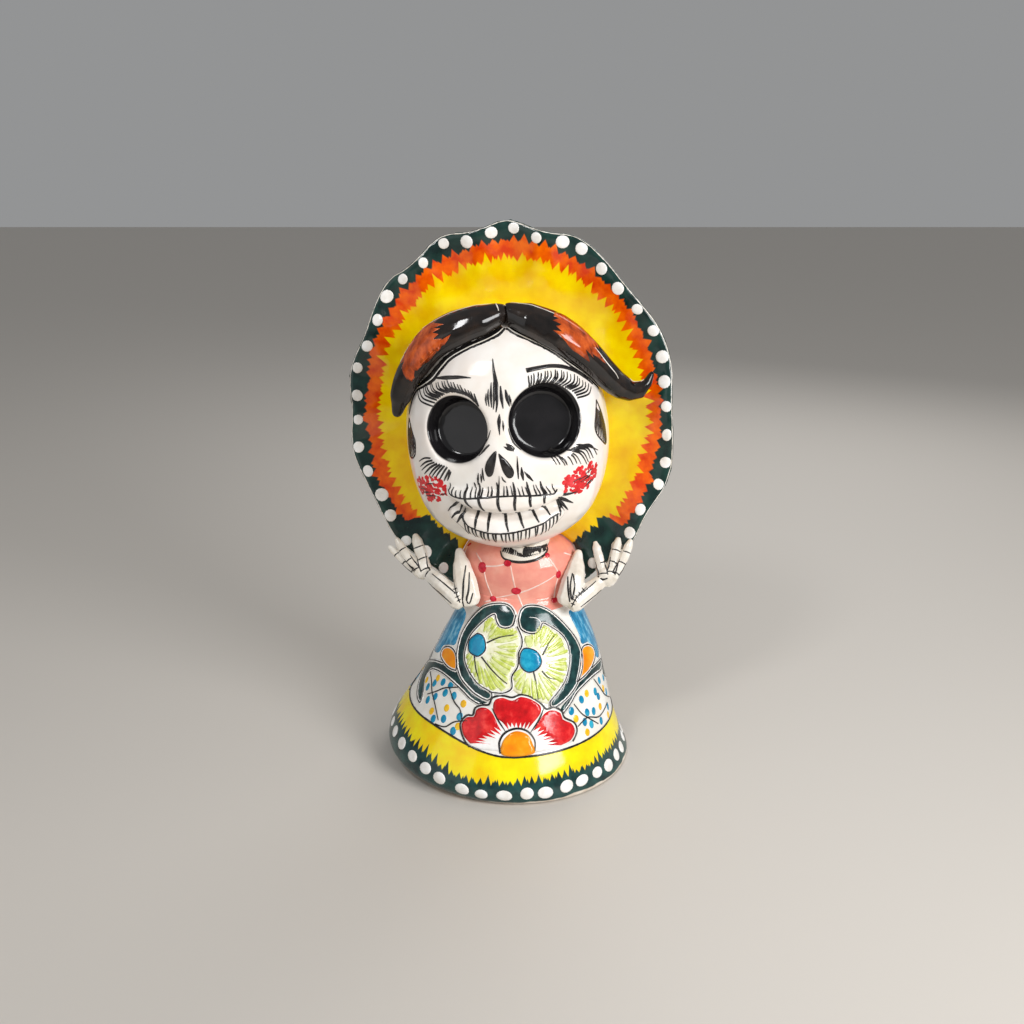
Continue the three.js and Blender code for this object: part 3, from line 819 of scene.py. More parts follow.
RIGHT_DROP = [(49, 55), (54, 60), (60, 66), (65, 69.8), (73, 69), (79, 65), (77, 61), (68, 58), (57, 56)]
LEFT_WASH = [(-100, 86), (-86, 87.5), (-73, 87), (-67, 84), (-65, 77), (-63, 71), (-70, 69), (-79, 66),
             (-80, 62), (-88, 59), (-98, 58), (-104, 65), (-105, 76)]
RIGHT_WASH = [(68, 88), (82, 88), (96, 86), (102, 76), (100, 65), (92, 60), (84, 60), (81, 66), (75, 70),
              (66, 71.5), (67, 77)]
LEFT_FLOWER = [(4, 85), (8, 81), (8, 77), (4, 73.5), (3, 67.5), (-2, 62.5), (-2, 57), (-9, 54.5),
               (-18, 54.5), (-27, 57), (-34, 60), (-40, 63), (-46, 67), (-49, 72.5), (-49, 78),
               (-45, 82.5), (-36, 88), (-28, 90), (-22, 87), (-12, 85)]
RIGHT_FLOWER = [(5, 85), (9, 81), (9, 77), (5, 73.5), (4, 67.5), (-1, 62.5), (-1, 57), (4, 54), (17, 50),
                (25, 48.5), (32, 53), (40, 58), (46, 64), (50, 70), (51, 76), (48, 80.5), (42, 84),
                (34, 86.5), (26, 84), (15, 83)]
PARTING = [(4, 86), (8.5, 81), (8, 77), (4.5, 73.5), (3.5, 67.5), (-1.5, 62.5), (-1.5, 57), (-8, 54.5),
           (-18, 54.5)]
LEFT_HEART = [(-42, 80), (-36, 80), (-31, 78), (-28, 73.6), (-33, 70), (-39, 70), (-45, 71.5), (-48, 76)]
RIGHT_HEART = [(6, 73), (9, 75.5), (15, 75.7), (22, 73.5), (24, 69), (19, 65.5), (12, 64.5), (7, 66.5),
               (5, 69.5)]


def turned(spots, turn, drop=0.0):
    """The same outline further round the skirt, and lower by a drop in mm."""
    return [(u + turn, v - drop) for u, v in spots]


# %% Scrolls, flowers, drops and leaves
def border(spots, width=0.9, turn=0, closed=True):
    """A dark line round a patch, over a wider pale one that kept the glazes apart."""
    ring = spots + spots[:1] if closed else spots
    pale_lines.stroke(turned(ring, turn), width + 1.3, press=(1, 1))
    outlines.stroke(turned(ring, turn), width, press=(1, 1), wobble=0.15)


def flower_rays(turn, heart, ring, count):
    """Strokes that run in from the flower's edge towards its heart: a wide thin wash, then darker ones."""
    line = through(ring, 1.5)
    for paint, times, widths, reach in ((pale_rays, count, (3.6, 5.2), (0.35, 0.5)),
                                        (yellow_rays, int(1.5 * count), (0.9, 2.4), (0.42, 0.75))):
        for k in range(times):
            tip = line[int((k + random.uniform(-0.3, 0.3)) % times * (len(line) - 1) / times)]
            start = Vector(heart).lerp(tip, random.uniform(0.88, 0.96))
            end = Vector(heart).lerp(tip, random.uniform(*reach))
            paint.stroke(turned([start, start.lerp(end, 0.5), end], turn), random.uniform(*widths),
                         press=(0.8, 1, 0.7, 0.15))


def dark_rays(turn, rays):
    """Lone dark strokes from a heart towards the flower's edge."""
    for ray in rays:
        outlines.stroke(turned(ray, turn), 0.95, press=(1, 0.9, 0.5))


def flowers_and_leaves(turn):
    for outline in (LEFT_FLOWER, RIGHT_FLOWER):
        cream_flowers.patch(turned(outline, turn))
    flower_rays(turn, (-37, 75), LEFT_FLOWER[5:13], 9)
    flower_rays(turn, (-37, 75), LEFT_FLOWER[16:] + LEFT_FLOWER[:6], 12)
    flower_rays(turn, (14, 70), RIGHT_FLOWER[5:], 20)
    for outline in (LEFT_WASH, RIGHT_WASH):
        blue_washes.patch(turned(outline, turn), grain=2)
    for outline in (LEFT_SCROLL, RIGHT_SCROLL, LEFT_LEAF, RIGHT_LEAF):
        scrolls.patch(turned(outline, turn), height=1.5)
    border(LEFT_SCROLL, turn=turn)
    border(RIGHT_SCROLL, turn=turn)
    border(LEFT_LEAF[11:] + LEFT_LEAF[:6], turn=turn, closed=False)
    border(RIGHT_LEAF[7:] + RIGHT_LEAF[:3], turn=turn, closed=False)
    for outline in (LEFT_DROP, RIGHT_DROP):
        drops.patch(turned(outline, turn), height=1.6)
        border(outline, turn=turn)
    border(PARTING, turn=turn, closed=False)
    for outline in (LEFT_HEART, RIGHT_HEART):
        turquoise_spots.patch(turned(outline, turn), height=1.5)
        border(outline, turn=turn)
    dark_rays(turn, [
        [(-28, 77), (-15, 80.5), (0, 82)],
        [(-37, 69.5), (-32, 63.5), (-26, 58)],
        [(-30, 70), (-20, 65.6), (-12, 62), (-5, 59)],
        [(26, 72), (33, 76.5), (41, 80)],
        [(16, 65), (17, 59), (17, 51)],
        [(23, 64.5), (27, 61), (32, 59.5)],
    ])
    pale_lines.stroke(turned([(20, 90), (28, 89.5), (32, 87.5), (30, 85)], turn), 0.6, press=(0.4, 1, 1))
    pale_lines.stroke(turned([(-26, 90.5), (-24, 87.5), (-17, 85.2), (-9, 85), (-1, 86.5), (3, 90)],
                             turn), 0.5)


# %% Poppy, spots and scales
def jagged(start, end, towards, teeth, depth):
    """A zigzag between two spots, whose odd points reach some way towards a third spot."""
    spots = []
    for k in range(1, 2 * teeth):
        spot = Vector(start).lerp(Vector(end), k / (2 * teeth))
        if k % 2:
            spot = spot.lerp(Vector(towards), depth * random.uniform(0.5, 1.2))
        spots.append(tuple(spot))
    return spots


def smooth_spots(spots, step=1.5):
    return [tuple(spot) for spot in through(spots, step)]


PETALS = [
    # outer edge of the petal, from one side of its foot to the other
    [(-24, 30), (-29, 33), (-32, 37.5), (-30, 41), (-25.5, 42), (-25, 45), (-22, 46.7), (-17, 46.5),
     (-13, 44), (-10, 40)],
    [(-7, 41), (-12, 43.5), (-14, 48), (-13, 51), (-8, 52.3), (-1, 51.2), (5, 52.9), (12, 51.5), (18, 48),
     (17.5, 44.5), (13, 41)],
    [(15, 40), (20, 44), (25.5, 45), (31, 42.5), (31.5, 39.5), (37, 36), (38, 32), (34, 28.5), (27, 27.5)],
]
POPPY = [(-9, 28), (-24, 28.5), (-29, 32), (-33, 37.5), (-30.5, 41.8), (-26.5, 42.5), (-26, 46),
         (-21, 48), (-17, 48.5), (-15, 52), (-8, 53.3), (-1, 52.7), (5, 54), (12, 52.7), (19, 48.8),
         (22, 46), (27, 46.3), (32, 43.5), (33, 40), (39, 36), (39.5, 31.5), (35, 27.5), (12, 26.5)]
HEART = [(-5.5, 26.2), (-6.5, 31.5), (-3, 35.5), (2, 37), (8, 35.2), (10.5, 31), (10.5, 26.2)]


def poppy(turn, drop=0.0):
    """The red flower on the hem: red petals over white ones, with a toothed inner edge."""

    def moved(spots):
        return turned(spots, turn, drop)

    poppy_white.patch(moved(POPPY))
    for petal in PETALS:
        edge = smooth_spots(petal)
        inner = jagged(petal[-1], petal[0], (2, 31), 7, 0.36)
        poppy_red.patch(moved(edge + inner), grain=1.3, smooth=False, height=1.5)
    poppy_heart.patch(moved(HEART), height=1.8)
    outlines.stroke(moved(POPPY[1:-1]), 1.0, press=(1, 1), wobble=0.15)
    outlines.stroke(moved([(-7, 27), (-8, 32), (-5, 36.3), (2, 38.2), (8.5, 36.5), (12, 32),
                           (11.5, 27.5)]), 1.2, press=(1, 1, 0.6))
    outlines.stroke(moved([(-14.5, 47), (-10, 42), (-5, 37)]), 0.9)
    outlines.stroke(moved([(20, 46.5), (16, 41.5), (10, 36)]), 0.9)


def spots_and_scales(turn):
    for u, v in [(-66, 49), (-58, 52), (-50, 52.5), (-71, 45), (-64, 40.5), (-59, 44), (-52, 48),
                 (-44, 48.5), (-52, 35), (-45, 37), (-35, 40.5), (-36, 33.5), (73, 48), (49, 45.5),
                 (64, 45), (39, 42), (51, 38), (57, 36.5), (47, 34), (52, 31), (62, 29), (66, 41.5),
                 (82, 46), (80, 38), (76, 31)]:
        blue_dots.dot(u + turn, v, 3.7, 4.6, turn=random.uniform(-25, 25))
    for u, v in [(-77, 46.5), (-65, 52), (-46, 42), (-56, 37.5), (-35, 46.5), (-34, 36), (55, 47),
                 (41, 37.5), (65, 36), (47, 28.5), (76, 42), (73, 27.5)]:
        yellow_dots.dot(u + turn, v, 3.7, 4.2)
    for line in ([(-78, 51), (-71, 49), (-64, 45), (-56, 41), (-48, 35.5)],
                 [(-67, 42.5), (-60, 46.5), (-54, 50), (-43, 53)],
                 [(-50, 51), (-42, 46), (-36, 43.5), (-33, 39.5)],
                 [(-49, 33.5), (-42, 34), (-37, 37.5), (-29, 39.5)],
                 [(66, 51.5), (71, 44.5), (76, 38), (86, 32)], [(42, 45), (46, 39), (50, 35.5), (58, 29)],
                 [(76, 33.5), (61, 32), (50, 35.5), (41, 33.5)]):
        outlines.stroke(turned(line, turn), 0.85, press=(0.7, 1, 0.7))


for turn in (0, 180):
    flowers_and_leaves(turn)
    spots_and_scales(turn)
poppy(0)
poppy(180, drop=1.5)
print("skirt painted")

# %% Hem
HEM_DOTS = 36
outlines.stroke([(angle, yellow_top(angle)) for angle in range(-180, 181, 6)], 1.1, press=(1, 1),
                wobble=0.15)
for k in range(HEM_DOTS):
    angle = -74.5 + 360 / HEM_DOTS * k + random.uniform(-1, 1)
    hem_dots.dot(angle, hem_dot_height((angle + 180) % 360 - 180) + random.uniform(-0.5, 0.5),
                 random.uniform(6.8, 9.0), random.uniform(5.6, 7.0), turn=random.uniform(-12, 12),
                 proud=0.4)

for paint, material in (
    (cream_flowers, CREAM), (blue_washes, BLUE_WASH), (scrolls, GREEN), (pale_rays, LEAF_WASH),
    (yellow_rays, LEAF_YELLOW), (turquoise_spots, BLUE_SPOT), (drops, ORANGE), (poppy_white, WHITE),
    (poppy_red, RED), (poppy_heart, ORANGE), (blue_dots, BLUE_SPOT), (yellow_dots, YELLOW_DOT),
    (hem_dots, WHITE), (outlines, INK), (pale_lines, WHITE),
):
    paint.fire(material, "skirt_glaze")

# %% [markdown]
# ## The face's linework
#
# The face is drawn with a fine brush and black glaze: lashes round both sockets, wrinkles between them,
# the nose as two drops, and a tick wherever a tooth meets the gum. Places are longitude and latitude on
# the head. What repeats, such as lashes and ticks, is laid between two lines by a loop.

# %% Face canvas
skin = Canvas(face, on_head)
lines = Paint("face_linework", skin, coat=1)
rouge = Paint("cheek_rouge", skin)

# %% Lashes
def lashes(roots, tips, count, width, sweep=(0, 0)):
    """Strokes from a line of roots to a line of tips. The last of them bend most, by the sweep."""
    low = through(roots, 0.5)
    high = through(tips, 0.5)
    for k in range(count):
        share = min(max((k + random.uniform(-0.2, 0.2)) / (count - 1), 0), 1)
        root = low[int(share * (len(low) - 1))]
        tip = high[int(share * (len(high) - 1))]
        middle = root.lerp(tip, 0.5) + Vector(sweep) * share
        tip = root.lerp(tip, random.uniform(0.88, 1.08))
        lines.stroke([root, middle, tip], width * random.uniform(0.8, 1.15), press=(0.9, 1, 0.85, 0.4))


lashes([(-10, 32), (-14, 35.5), (-18, 37), (-22.5, 37.8), (-27, 38), (-32, 37), (-37, 35), (-40, 33),
        (-43, 30)],
       [(-12.5, 38), (-15, 39), (-19.5, 40.5), (-24.5, 42), (-32, 43), (-40.5, 42), (-47, 40.5),
        (-54.5, 38), (-60, 35)],
       20, 1.1, sweep=(-3.5, -1.6))
lashes([(23.5, 39), (27, 39.5), (31, 39.4), (36, 38.8), (41, 37.3), (46, 35), (50.5, 32), (53, 29.7),
        (54, 27)],
       [(24, 43.5), (30, 43.8), (35, 44), (40.5, 44), (47, 42.5), (53, 40.5), (59, 37.5), (66, 33.5),
        (69, 29)],
       21, 1.15, sweep=(3.5, -1.6))
lashes([(-29.3, -5), (-31.6, -2.7), (-35.8, -1.5), (-39.5, -0.8), (-43, 1.3)],
       [(-32, -10.6), (-38, -9.8), (-45.4, -8.7), (-50.5, -6), (-53, -2)], 10, 1.15, sweep=(0, 1))
lashes([(31.4, -1), (35.5, -0.6), (39, 1), (43, 1.8), (46.5, 2.2)],
       [(33, -4.6), (38.5, -6.3), (48, -7.5), (55.5, -7.8), (61, -5.5)], 12, 1.15, sweep=(3, 2.5))
lines.stroke([(46.8, 3.7), (54.2, 1), (63.8, -4.1)], 1.2, press=(0.6, 1, 0.3))

# %% Wrinkles, brows and nose
SINGLE_STROKES = [
    # width in mm, press, spots
    (1.9, (0.15, 0.6, 1, 0.7, 0.2), [(0.5, 54), (1, 49), (2, 43), (2, 38.5), (2, 33), (1, 28.5)]),
    (1.1, (0.2, 1, 0.3), [(0.5, 43), (0.5, 36), (-0.5, 30)]),
    (1.2, (0.2, 1, 0.3), [(-1, 43), (-1.5, 37), (-1.5, 31)]),
    (1.0, (0.2, 1, 0.3), [(-3, 40), (-3.5, 36), (-3, 31.5)]),
    (0.8, (0.2, 1, 0.3), [(-4.5, 38), (-5, 35), (-4.5, 32)]),
    (1.5, (0.3, 1, 0.2), [(5, 41), (5, 36), (5.5, 30)]),
    (1.7, (0.3, 1, 0.2), [(8, 39), (8.5, 35.5), (9.5, 31)]),
    (0.9, (0.2, 1, 0.2), [(10, 36.5), (10.5, 34), (10.5, 31.5)]),
    (1.6, (0.1, 1, 0.6, 0.1), [(3, 27.5), (2.2, 22), (2.2, 16)]),
    (0.9, (0.1, 1, 0.1), [(4.7, 24), (4.7, 21), (4.5, 18)]),
    (1.7, (0.2, 1, 0.9, 0.2), [(-44, 43), (-31, 44.3), (-22, 45), (-15, 45)]),
    (2.0, (1, 0.8, 0.9, 0.7, 0.3), [(23.5, 46), (31, 46), (42, 45.5), (53, 43), (62, 38.5), (73, 30)]),
    (1.2, (0.2, 1, 0.5), [(-3, 19), (-6, 13), (-11, 6.5), (-17, 2)]),
    (1.2, (0.6, 1, 0.2), [(-4, 11), (-6.5, 9), (-11, 4.5)]),
    (1.4, (0.2, 1, 0.4), [(7.5, 19.5), (8.5, 14.5), (10.5, 10), (14, 6)]),
    (2.0, (0.2, 1, 0.4), [(5.5, 11), (7.5, 9), (10, 7.5)]),
    (1.3, (0.2, 1, 0.3), [(4, 9.5), (6.5, 8), (9.5, 6.5)]),
    (1.0, (0.2, 1, 0.3), [(-9, -2), (-9.2, -6.5), (-8.7, -9.5)]),
    (1.0, (0.2, 1, 0.3), [(-11.7, -5), (-12.4, -8.5), (-12.6, -12)]),
    (0.9, (0.2, 1, 0.3), [(-10.4, -5.5), (-10.3, -8), (-10.5, -10.5)]),
    (0.8, (0.2, 1, 0.3), [(-15, -10.5), (-14.6, -11.7), (-14.3, -13.5)]),
    (1.0, (0.1, 1, 0.4), [(11, 3.5), (10.7, -2.5), (10.6, -9.5)]),
    (1.5, (0.2, 1, 0.3), [(12.8, -3), (12.9, -7), (13.3, -10.8)]),
    (1.3, (0.2, 1, 0.3), [(14.2, -5.8), (16.4, -9), (18.8, -12)]),
    (0.9, (0.2, 1, 0.3), [(1.5, -7), (2, -9), (3.5, -10.7)]),
    (1.3, (0.2, 1, 0.2), [(-23, -19), (-30, -24), (-36, -28)]),
    (1.6, (0.3, 1, 0.2), [(-21.5, -21), (-27, -26), (-31, -29)]),
    (1.5, (0.3, 1, 0.2), [(-21, -23), (-25, -28), (-28, -31)]),
    (1.4, (0.3, 1, 0.2), [(31, -20.5), (37, -22), (45, -22)]),
    (1.6, (0.4, 1, 0.2), [(31, -21.5), (37, -25), (43, -28)]),
    (1.6, (0.4, 1, 0.2), [(31.5, -22), (36, -27.5), (40, -31.5)]),
    (1.5, (0.4, 1, 0.2), [(31.5, -23), (34, -28), (36.5, -33)]),
]
SPREAD = 1.25  # the ink runs this much wider as it melts
for width, press, spots in SINGLE_STROKES:
    lines.stroke(spots, SPREAD * width, press)
lines.patch([(-0.3, 7.5), (-3.2, 5.5), (-6.5, 1), (-7.6, -3.5), (-6.2, -7), (-3.6, -6), (-1.7, -1),
             (-0.5, 4)], grain=1.2)
lines.patch([(0.9, 6), (2.8, 4.3), (6, 0.5), (8.4, -4.5), (7.4, -8), (4.8, -8.2), (2.6, -4.5), (1.4, 1)],
            grain=1.2)

# %% Smile
UPPER_GUM = [(-30, -14), (-28, -16), (-24, -16.8), (-19, -16.6), (-13.5, -16.3), (-7, -16.1),
             (-0.5, -16.1), (7.5, -16.5), (15, -17.1), (23.5, -17.8), (29, -18.3), (31.5, -17.5)]
LOWER_GUM = [(-21.8, -28.3), (-19.5, -30), (-16, -31.5), (-11, -32.8), (-4.5, -33.6), (4, -33.7),
             (12, -32.9), (20.5, -31.6), (27, -30.3), (31.5, -29.3)]


def teeth(gum, ticks, tick_to, breaks, past):
    """A gum line with ticks into the gum, and a stroke between each two teeth that runs past the line."""
    lines.stroke(gum, 1.0, press=(0.8, 1, 1, 0.8), wobble=0.2)
    ring = through(gum, 0.5)
    for k in range(ticks):
        root = ring[int((k + 0.5 + random.uniform(-0.2, 0.2)) / ticks * (len(ring) - 1))]
        tip = root + Vector((random.uniform(-1.2, 0.4), tick_to * random.uniform(0.75, 1.2)))
        lines.stroke([root, root.lerp(tip, 0.5), tip], random.uniform(0.8, 1.2), press=(1, 0.9, 0.3))
    for root, tip in breaks:
        root, tip = Vector(root), Vector(tip)
        start = root + Vector((-0.5, past))
        spots = through([start, root, root.lerp(tip, 0.5) + Vector((-0.4, 0)), tip], 0.7)
        lines.stroke(spots, 1.6, press=(0.3, 0.9, 1, 0.7))


teeth(UPPER_GUM, 22, 2.9,
      [((-19, -16.4), (-16, -22)), ((-11.4, -15.7), (-9.2, -23)), ((-1.2, -15.4), (-0.4, -23)),
       ((7.8, -16), (7.2, -23)), ((15.5, -16.8), (15.4, -22)), ((23.3, -17.5), (22.8, -21.5))], 5)
lines.stroke([(0.2, -6.5), (-0.4, -11), (-1.2, -15.5)], 0.9, press=(0.1, 0.8, 1))
teeth(LOWER_GUM, 24, -7.2,
      [((-15.5, -31), (-13.5, -24.5)), ((-8.5, -32.3), (-6.5, -24.5)), ((2.5, -33), (0.5, -24.5)),
       ((11, -32.3), (7.5, -24.5)), ((19.5, -30.8), (14.5, -24)), ((26.5, -29.5), (21.5, -23))], 0)
lines.stroke([(-22.8, -25.5), (-22.8, -27.5), (-21, -29.5)], 1.3)
lines.stroke([(33, -26), (33.5, -28), (32, -30.5)], 1.3)

# %% Rouge and ears
CHEEKS = [(-46, -16, 15, 7), (49, -15.5, 13, 7)]  # degrees: the rouge's middle, half width, half height
ROUGE_DABS, CHEEK_LINES = 125, 7
for lon, lat, wide, tall in CHEEKS:
    climb = 0.036 * abs(lon)
    for k in range(ROUGE_DABS):
        a, r = random.uniform(0, 2 * math.pi), random.random() ** 0.7
        rouge.dot(lon + wide * r * math.cos(a), lat + tall * r * math.sin(a) + climb * r * math.cos(a),
                  random.uniform(1.3, 3.4), random.uniform(1.2, 2.6), turn=random.uniform(-60, 60),
                  proud=0.13)
    for k in range(CHEEK_LINES):
        u, v = lon + random.uniform(-0.7, 0.5) * wide, lat + random.uniform(-0.8, 0.3) * tall
        lines.stroke([(u, v), (u + 3, v + 1), (u + 7, v + 1.2)], 0.75, press=(0.4, 1, 0.3))
for ear in ([(71, 22), (74.5, 14), (77, 4), (76, -4), (67, 2), (63.5, 8), (66.5, 15)],
            [(-68, 19), (-62, 13), (-57.5, 8), (-58.5, 0), (-67, -2.5), (-70, 6)]):
    top = Vector(ear[0])
    ring = through(ear, 1.2)
    lines.stroke(ear + ear[:1], 1.0, press=(1, 1))
    for k in range(3, len(ring) - 3, 2):
        lines.stroke([top.lerp(ring[k], 0.25), top.lerp(ring[k], 0.97)], 1.3, press=(0.4, 1, 0.7))

# %% [markdown]
# ## Hair, hat, bodice and arms
#
# Rust-red flames sit on the black hair, with a pale line and a dark line where it meets the face. The
# hat's rim has a row of white drops on both sides. The arms are drawn as bones, with a ring at each joint.

# %% Hair
right_hair, left_hair = Canvas(right_lock, on_head), Canvas(left_lock, on_head)
rust = [Paint("rust_flames_right", right_hair), Paint("rust_flames_left", left_hair)]
hair_lines = [Paint("pale_hair_line_right", right_hair), Paint("pale_hair_line_left", left_hair)]
hair_root = Paint("black_hair_roots", skin)
hair_edge = Paint("pale_hair_edge", skin, coat=1)
lines.fire(INK, "bone_glaze")
rouge.fire(ROUGE, "bone_glaze")
RIGHT_RUST = [(-62, 45), (-61, 53), (-54, 60), (-46, 60)]
rust[0].patch(smooth_spots(RIGHT_RUST) + jagged((-46, 60), (-39, 52), (-20, 62), 4, 0.3)
              + [(-36, 54.5), (-29, 57.5), (-37, 51)] + jagged((-38, 50), (-54, 38), (-62, 30), 5, 0.25)
              + jagged((-56, 40), (-62, 45), (-66, 36), 2, 0.4), grain=1.1, smooth=False, height=2.2)
rust[1].patch(jagged((48, 50), (56, 60), (38, 60), 4, 0.35) + smooth_spots([(56, 61), (64, 60), (71, 52),
                                                                            (73, 44)])
              + jagged((73, 44), (58, 43), (70, 30), 5, 0.3) + [(54, 45.5)], grain=1.1, smooth=False,
              height=2.2)
rust[1].patch([(63, 42), (66, 43), (69, 41), (71, 37), (72, 34.5), (68, 38)], grain=1.2)
for paint in rust:
    paint.fire(RUST, "black_glaze")
RIGHT_EDGE = [(-69.5, 21), (-67, 30), (-63, 35), (-54.8, 38), (-45.6, 42), (-39.3, 48.6), (-35, 53),
              (-21.4, 59), (-6.3, 63), (7, 66), (14, 69)]
LEFT_EDGE = [(18, 69), (23.3, 65.5), (34, 60.5), (43.4, 55.6), (51.4, 50), (59, 43), (69, 36), (82, 26)]
for canvas, edge in ((right_hair, RIGHT_EDGE), (left_hair, LEFT_EDGE)):
    contact = [skin.at(lon, lat) for lon, lat in edge]
    # Share 0 is on the skin along the edge, and share 1 is where the lock stands.
    for share in (0.0, 0.3, 0.6, 0.9):
        strand = [spot.lerp(canvas.near(spot)[0], share) for spot, normal in contact]
        hair_root.stroke(strand, 2.4 if share == 0 else 3.4, press=(1, 1), wobble=0.2)
        if share == 0.3:
            hair_edge.stroke(strand, 0.8, press=(1, 1), wobble=0.3)
hair_lines[0].stroke([(-66, 42), (-61, 55), (-48, 63), (-32, 69), (-12, 73), (2, 75)], 0.7, wobble=0.3)
hair_lines[0].stroke([(5, 77), (7, 73), (9, 69.5)], 0.8, wobble=0.3)
hair_lines[1].stroke([(22, 75), (36, 70), (50, 63), (61, 54), (68, 46)], 0.7, wobble=0.3)
hair_lines[1].stroke([(17, 77), (16.5, 73), (16, 69.5)], 0.8, wobble=0.3)
hair_lines[1].stroke([(68, 42), (72, 36), (77, 29), (78, 26)], 0.7)
hair_lines[1].stroke([(88, 22), (91, 20), (93, 17)], 3.6, press=(0.6, 1, 0.5))
for paint in hair_lines:
    paint.fire(BONE, "black_glaze")
hair_root.fire(INK, "bone_glaze")
hair_edge.fire(BONE, "bone_glaze")

# %% Hat rim
front, back = Canvas(brim, on_brim), Canvas(brim, on_brim_back)
rim_dots = Paint("white_rim_dots", front)
rim_dots_behind = Paint("white_rim_dots_behind", back)
# A pale stroke just inside the brim's edge is a painted highlight for the light caught on that edge, and
# also stands for the glaze running thin there.
rim_edge_highlight = Paint("rim_edge_highlight", front)
RIM_DOTS, RIM_DOT_STEP = 42, 8.6  # the step is in degrees
RIM_END = 0.9  # below this share the brim is cut away round her neck, and has no rim to paint


def rim_at(canvas, turn):
    """The share of the way out at which the brim ends, along one turn."""
    share = 1.06
    while share > 0.5 and canvas.at(turn, share)[0] is None:
        share -= 0.003
    return share


for paint in (rim_dots, rim_dots_behind):
    for k in range(RIM_DOTS):
        turn = 7 + RIM_DOT_STEP * k + random.uniform(-1.2, 1.2)
        edge = rim_at(paint.canvas, turn)
        if edge < RIM_END:
            continue
        wide = random.uniform(5.6, 7.3)
        inset = 0.004 + wide / 2 / 95  # share of the brim's mean half size, which is about 95 mm
        paint.dot(turn, edge - inset - random.uniform(0, 0.008), wide * random.uniform(0.8, 1.1), wide,
                  turn=random.uniform(-40, 40), proud=0.2)
# The painted highlight along the edge: a thin pale line a little inside the rim, wherever the rim is there
# to paint.
rim_line = [(turn, rim_at(front, turn) - 0.004) for turn in range(-62, 244, 4)]
rim_edge_highlight.stroke([spot for spot in rim_line if spot[1] > RIM_END], 0.5, press=(1, 1), wobble=0.5)
rim_dots.fire(WHITE, "yellow_glaze")
rim_dots_behind.fire(WHITE, "yellow_glaze")
rim_edge_highlight.fire(BONE, "yellow_glaze")

# %% Bodice and neck
chest = Canvas([bodice, waist], on_bodice)
throat = Canvas([bodice, waist, neck], on_bodice)
bodice_lines = Paint("pale_bodice_lattice", chest)
bodice_dots = Paint("crimson_bodice_dots", chest, coat=1)
neck_bone = Paint("bone_neckline", chest)
neck_lines = Paint("neck_bones", throat, coat=1)
LATTICE = [
    [(-43, 113), (-40, 105), (-35, 98)], [(-12, 118), (-9, 112), (-6, 105)],
    [(-33, 98), (-11, 101), (4, 103), (20, 106), (42, 111)],
    [(-4, 102), (3, 95)], [(37, 121), (42, 116), (46, 112)], [(45, 109), (43, 96)],
    [(-33, 97), (-44, 95)], [(-46, 117), (-60, 121)],
    [(-14, 119), (-30, 117), (-44, 116)],
]
for turn in (0, 120, 240):
    for line in LATTICE:
        bodice_lines.stroke(turned(line, turn), 1.1, press=(0.6, 1, 0.7))
    for u, v, wide, tall in [(-46, 115, 5.2, 6.2), (-16, 119, 4.2, 3.6), (-5, 103.5, 5.4, 4.4),
                             (-34, 97.5, 4, 3.2), (37, 122, 2.8, 2.8), (46, 111, 3.3, 4.6),
                             (43, 96, 4, 3.2)]:
        bodice_dots.dot(u + turn, v, wide, tall)
neck_bone.patch([(-24, 121.5), (-5, 120), (12, 120.3), (26, 121.5), (40, 124), (44, 127), (20, 128),
                 (-10, 128), (-30, 126.5)])
neck_lines.stroke([(-30, 124), (-22, 121.2), (-5, 119.8), (12, 120), (27, 121.3), (40, 123.5),
                   (46, 126.5)], 1.5)
NECK_BONES, NECK_BONE_STEP = 22, 3.1  # the step is in degrees
for k in range(NECK_BONES):
    u = -26 + NECK_BONE_STEP * k
    neck_lines.stroke([(u, 121.8 + abs(u - 6) * 0.06), (u + 2, 127.4)], random.uniform(1.1, 2.4),
                      press=(0.6, 1, 0.7))
bodice_lines.fire(SHELL_PINK, "pink_glaze")
bodice_dots.fire(DOT_RED, "pink_glaze")
neck_bone.fire(BONE, "bone_glaze")
neck_lines.fire(INK, "bone_glaze")

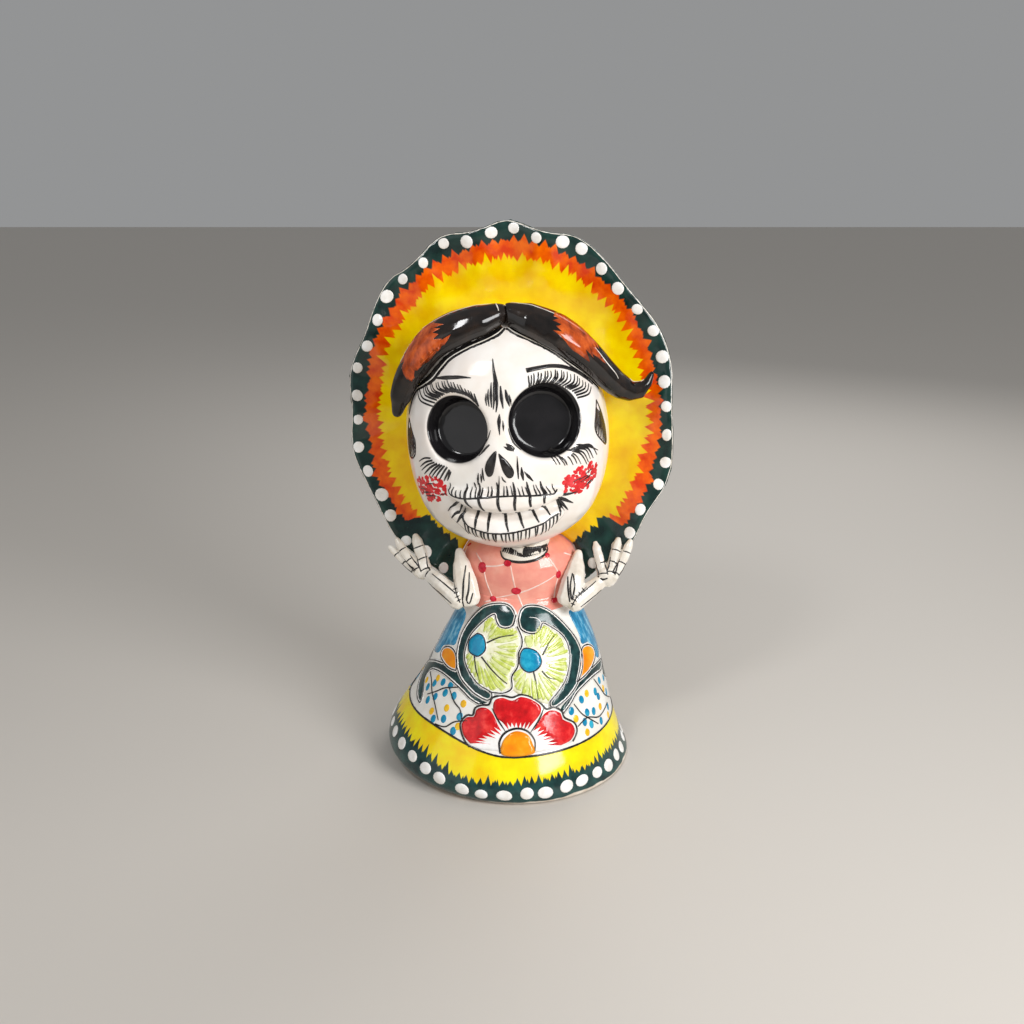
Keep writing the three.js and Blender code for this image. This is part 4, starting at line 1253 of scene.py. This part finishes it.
# %% Arm bones
# For each arm, in mm as seen from the front: the middle lines of the fingers and of the forearm, each
# with its half width, the lines on the upper arm and the wrist, and a row of stitches along the elbow.
BONES = {
    "right": {
        "fingers": [([(-46.3, 108), (-49, 116), (-52, 124)], 3.2),
                    ([(-51, 108), (-56.4, 114.5), (-62, 122.5)], 2.5),
                    ([(-53, 106.5), (-59, 111.5), (-66, 118)], 2.1)],
        "forearm": ([(-30, 99.5), (-37.5, 103.5), (-43.5, 105.5)], 3.6),
        "lines": [[(-23.7, 116), (-24.9, 108), (-25.4, 99.5), (-24.7, 95)],
                  [(-21.8, 113), (-22, 105.5), (-23.2, 99.5), (-21.8, 97.5), (-19.8, 103)],
                  [(-43.5, 109), (-45.5, 107.5), (-46.5, 105)]],
        "stitches": [(-30, 108.5), (-29.6, 104.5), (-28.1, 101), (-26.7, 98)],
    },
    "left": {
        "fingers": [([(50.5, 109.5), (48.7, 116), (46.8, 123)], 3.0),
                    ([(54.5, 110.5), (56.7, 118), (58.6, 126)], 2.8),
                    ([(57, 110), (61.1, 117), (65, 126)], 2.5)],
        "forearm": ([(36.5, 98), (42.4, 101.3), (48, 104.5)], 3.6),
        "lines": [[(33.5, 112.5), (32.3, 106), (33.3, 100), (34.6, 106), (33.9, 112)],
                  [(31, 111), (31.2, 104.5), (32, 98.5)],
                  [(47.5, 108.5), (50, 107.3), (52.8, 108.2)]],
        "stitches": [(41.2, 105), (37.5, 102.3), (34.7, 99.5), (33, 96)],
    },
}


def beside(points, reach):
    """The line at a distance beside another one, in the front view."""
    moved = []
    for i, point in enumerate(points):
        along = (Vector(points[min(i + 1, len(points) - 1)]) - Vector(points[max(i - 1, 0)])).normalized()
        moved.append(Vector(point) + Vector((-along.y, along.x)) * reach)
    return moved


for side, arm in zip(("right", "left"), arms):
    bones = BONES[side]
    ink = Paint(side + "_arm_linework", Canvas(arm, from_front))
    for spots, half in bones["fingers"] + [bones["forearm"]]:
        for reach in (-0.82 * half, 0.82 * half):
            ink.stroke(beside(spots, reach), 1.0, press=(0.6, 1, 0.8, 0.5), step=1.0)
    for spots, half in bones["fingers"]:
        line = through(spots, 0.5)
        for share in (0.08, 0.4, 0.72):
            k = int(share * (len(line) - 1))
            across = beside([line[k], line[k + 1]], 1)[0] - line[k]
            bow = (line[k + 1] - line[k]).normalized() * 0.6
            ink.stroke([line[k] - across * half * 0.85, line[k] + bow, line[k] + across * half * 0.85],
                       0.95, press=(0.7, 1, 0.7), step=0.8)
    for line in bones["lines"]:
        ink.stroke(line, 1.45, press=(0.5, 1, 0.6), step=1.0)
    # A thin line with a short tick across it at every stitch.
    ink.stroke(bones["stitches"], 0.85, press=(0.6, 1, 1))
    stitches = through(bones["stitches"], 1.9)
    for k, spot in enumerate(stitches[1:-1]):
        tick = beside([spot, stitches[k + 2]], 1.3)[0] - spot
        ink.stroke([spot - tick, spot + tick], 0.85, step=0.8)
    ink.fire(INK, "bone_glaze")

# %% [markdown]
# ## Floor
#
# A plain pale floor.

# %% Floor
bpy.ops.object.select_all(action="DESELECT")
bpy.ops.mesh.primitive_plane_add(size=6, location=(0, 0, 0))
floor = bpy.context.object
floor.name = "floor"
matt = bpy.data.materials.new("pale_matt_floor")
matt.use_nodes = True
shader = matt.node_tree.nodes["Principled BSDF"]
shader.inputs["Base Color"].default_value = colour("#CFC9C1")
shader.inputs["Roughness"].default_value = 0.6
floor.data.materials.append(matt)
